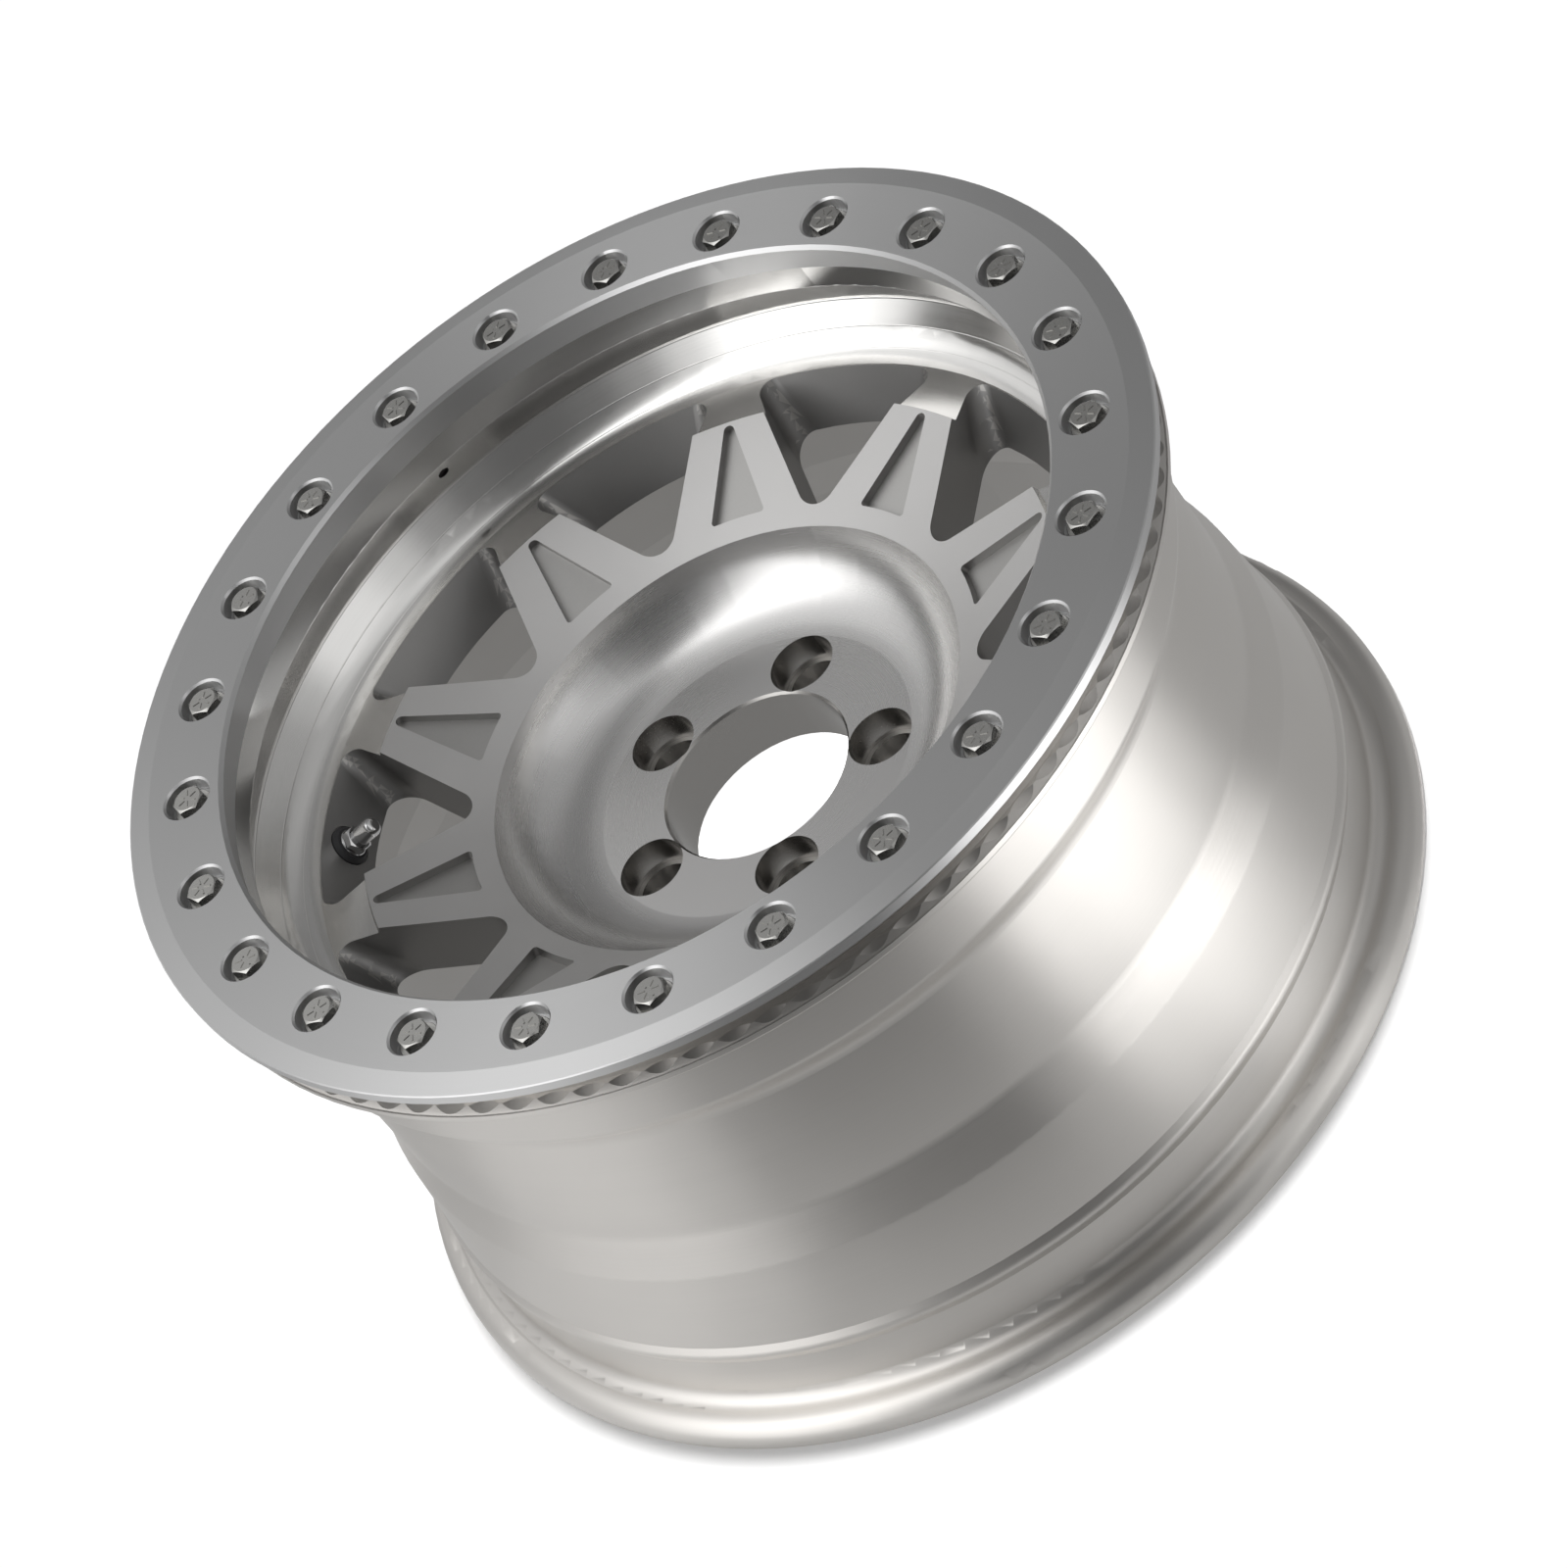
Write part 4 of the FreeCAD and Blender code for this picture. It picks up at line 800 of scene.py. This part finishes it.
@dataclass(frozen=True)
class FloorCards:
    """Cloths laid round the wheel's foot and inside it, that only the metal reflects; the one inside is a dim
    glowing sheet that puts painted shade under the wheel into reflections.
    """

    lift: float = 0.0006
    inside_radius: float = 0.205
    # How bright the painted shade under the wheel shows in reflections
    inside_shade_tone: float = 0.40
    inside_facets: int = 64
    inner: float = 0.2365
    outer: float = 3.5
    facets: int = 96
    near: Surround = Surround(0.50, (
        Panel(85, 36, 0.90), Panel(158, 44, 0.72), Panel(220, 42, 0.58), Panel(266, 20, 0.90)))
    far: Surround = Surround(0.45, (
        Panel(85, 36, 1.05), Panel(158, 44, 0.80), Panel(217, 54, 0.18), Panel(267, 42, 2.40)))
    near_end: float = 0.29
    far_start: float = 0.42

    def build_outside(self, height: float) -> bpy.types.Object:
        """Lay the broad cloth round the wheel.

        Args:
            height: The cloth's height.

        Returns:
            The cloth.
        """
        material = blended_glow("floor_cloth", self.near, self.far, Along.DISTANCE, self.near_end,
                                self.far_start)
        shape = bmesh.new()
        rings = [bmesh.ops.create_circle(shape, segments=self.facets, radius=radius)["verts"]
                 for radius in (self.inner, self.outer)]
        edges = list({edge for ring in rings for corner in ring for edge in corner.link_edges})
        bmesh.ops.bridge_loops(shape, edges=edges)
        return stage_piece("floor_cloth", shape, material, height)

    def build_inside(self, height: float) -> bpy.types.Object:
        """Lay the round cloth inside the wheel: painted shade, a dim sheet where the floor under the wheel
        lies in shade.

        Args:
            height: The cloth's height.

        Returns:
            The cloth.
        """
        # A dim glowing sheet: painted shade under the wheel, seen only in reflections
        material, tree = new_material("painted_shade_cloth")
        shade = add_node(tree, "ShaderNodeEmission", None, {"Color": WHITE, "Strength": self.inside_shade_tone})
        add_node(tree, "ShaderNodeOutputMaterial", None, {"Surface": shade.outputs[0]})
        shape = bmesh.new()
        bmesh.ops.create_circle(shape, cap_ends=True, segments=self.inside_facets, radius=self.inside_radius)
        return stage_piece("painted_shade_cloth", shape, material, height)

    def build(self, floor: float) -> list[bpy.types.Object]:
        """Lay both cloths just above the floor.

        Args:
            floor: The floor's height.

        Returns:
            The cloths.
        """
        return [self.build_outside(floor + self.lift), self.build_inside(floor + self.lift)]


@dataclass(frozen=True)
class Overhead:
    """A lamp far above, a little behind the wheel, that lights the floor and drops the shadow."""

    azimuth: float = 25.0
    elevation: float = 88.2
    spread: float = 2.0
    strength: float = 2.6
    distance: float = 3.0

    def build(self) -> bpy.types.Object:
        """Hang the lamp.

        Returns:
            The lamp.
        """
        data = bpy.data.lights.new("overhead_lamp", "SUN")
        data.energy = self.strength
        data.angle = math.radians(self.spread)
        lamp = bpy.data.objects.new("overhead_lamp", data)
        turn = math.radians(self.azimuth)
        across = math.cos(math.radians(self.elevation))
        towards = Vector((across * math.cos(turn), across * math.sin(turn),
                          math.sin(math.radians(self.elevation))))
        lamp.rotation_mode = "QUATERNION"
        lamp.rotation_quaternion = towards.to_track_quat("Z", "Y")
        lamp.location = towards * self.distance
        lamp.visible_glossy = False
        bpy.context.scene.collection.objects.link(lamp)
        return lamp


@dataclass
class Studio:
    """A pale floor, a light tent, an overhead lamp and the camera."""

    # The camera stands where the photograph was taken from
    camera_place: tuple[float, float, float] = (-1.33709, -1.55137, 1.77296)
    camera_right: tuple[float, float, float] = (0.32570, -0.81908, -0.47225)
    camera_down: tuple[float, float, float] = (-0.80417, 0.02269, -0.59397)
    camera_forward: tuple[float, float, float] = (0.49722, 0.57322, -0.65129)
    camera_reach: float = 100.0
    lens_mm: float = 151.19
    sensor_mm: float = 36.0

    sky_strength: float = 0.20
    floor_gap: float = 0.0002
    floor_size: float = 24.0
    floor_colour: str = "#e6e6e6"
    floor_glow: float = 0.25

    # Inside the wheel's foot the floor shows white, with a soft edge
    hollow_radius: float = 0.212
    hollow_edge: float = 0.01

    def build_camera(self) -> bpy.types.Object:
        """Place the camera.

        Returns:
            The camera.
        """
        data = bpy.data.cameras.new("camera")
        data.sensor_width = self.sensor_mm
        data.lens = self.lens_mm
        data.clip_end = self.camera_reach
        camera = bpy.data.objects.new("camera", data)
        axes = (Vector(self.camera_right), -Vector(self.camera_down), -Vector(self.camera_forward))
        turn = Matrix([[axis[row] for axis in axes] for row in range(3)]).to_4x4()
        camera.matrix_world = Matrix.Translation(self.camera_place) @ turn
        bpy.context.scene.collection.objects.link(camera)
        bpy.context.scene.camera = camera
        return camera

    def white_to_viewer(self, tree: bpy.types.NodeTree, lit: bpy.types.NodeSocket,
                        seen: bpy.types.NodeSocket, output: str) -> None:
        """Show one shader to the camera and to reflections, and another to everything else.

        Args:
            tree: The node tree.
            lit: The shader that lights the scene.
            seen: The shader that is seen, directly or in metal.
            output: Blender's name for the kind of output node.
        """
        path = add_node(tree, "ShaderNodeLightPath").outputs
        first = add_node(tree, "ShaderNodeMath", {"operation": "MAXIMUM"}, {
            0: path["Is Camera Ray"], 1: path["Is Glossy Ray"]})
        both = add_node(tree, "ShaderNodeMath", {"operation": "MAXIMUM"}, {
            0: first.outputs[0], 1: path["Is Transmission Ray"]})
        mix = add_node(tree, "ShaderNodeMixShader", None, {0: both.outputs[0], 1: lit, 2: seen})
        add_node(tree, output, None, {"Surface": mix.outputs[0]})

    def build_world(self) -> None:
        """Light everything softly, and look white."""
        world = bpy.data.worlds.new("studio")
        bpy.context.scene.world = world
        world.use_nodes = True
        tree = world.node_tree
        tree.nodes.clear()
        lit = add_node(tree, "ShaderNodeBackground", None, {"Strength": self.sky_strength}).outputs[0]
        seen = add_node(tree, "ShaderNodeBackground", None, {"Color": WHITE, "Strength": 1.0}).outputs[0]
        self.white_to_viewer(tree, lit, seen, "ShaderNodeOutputWorld")

    def build_floor(self, height: float) -> bpy.types.Object:
        """Lay the pale floor: white to the viewer, with the wheel's shadow, and bright inside the wheel.

        Args:
            height: The floor's height.

        Returns:
            The floor.
        """
        material, tree = new_material("white_paper_floor")
        place = add_node(tree, "ShaderNodeTexCoord").outputs["Object"]
        flat = add_node(tree, "ShaderNodeVectorMath", {"operation": "MULTIPLY"}, {0: place, 1: (1, 1, 0)})
        radius = add_node(tree, "ShaderNodeVectorMath", {"operation": "LENGTH"}, {0: flat.outputs[0]})
        inside = add_node(tree, "ShaderNodeMapRange", None, {
            "Value": radius.outputs["Value"], "From Min": self.hollow_radius,
            "From Max": self.hollow_radius + self.hollow_edge, "To Min": 1.0, "To Max": self.floor_glow})
        paper = add_node(tree, "ShaderNodeBsdfDiffuse", None, {"Color": linear(self.floor_colour)}).outputs[0]
        glow = add_node(tree, "ShaderNodeEmission", None, {
            "Color": WHITE, "Strength": inside.outputs[0]}).outputs[0]
        lifted = add_node(tree, "ShaderNodeAddShader", None, {0: paper, 1: glow}).outputs[0]
        self.white_to_viewer(tree, paper, lifted, "ShaderNodeOutputMaterial")
        shape = bmesh.new()
        bmesh.ops.create_grid(shape, x_segments=1, y_segments=1, size=self.floor_size / 2)
        return stage_piece("floor", shape, material, height, reflected_only=False)

    def build(self) -> list[bpy.types.Object]:
        """Set up the camera, the world, the floor, the cloths, the tent and the lamp.

        Returns:
            The pieces of the studio.
        """
        bpy.context.scene.view_settings.view_transform = "Standard"
        camera = self.build_camera()
        self.build_world()
        height = CAD_BOX[0].z - self.floor_gap
        floor = self.build_floor(height)
        return [camera, floor, *FloorCards().build(height), LightTent().build(), Overhead().build()]


def main() -> None:
    """Build the studio, dress every piece and report each."""
    logging.basicConfig(level=logging.INFO, format="%(message)s")
    for part in (Studio(), Wheel(), ClampRing(), TyreValve()):
        for piece in part.build():
            LOG.info("%s: %s", type(part).__name__, piece.name)


if __name__ == "__main__":
    main()
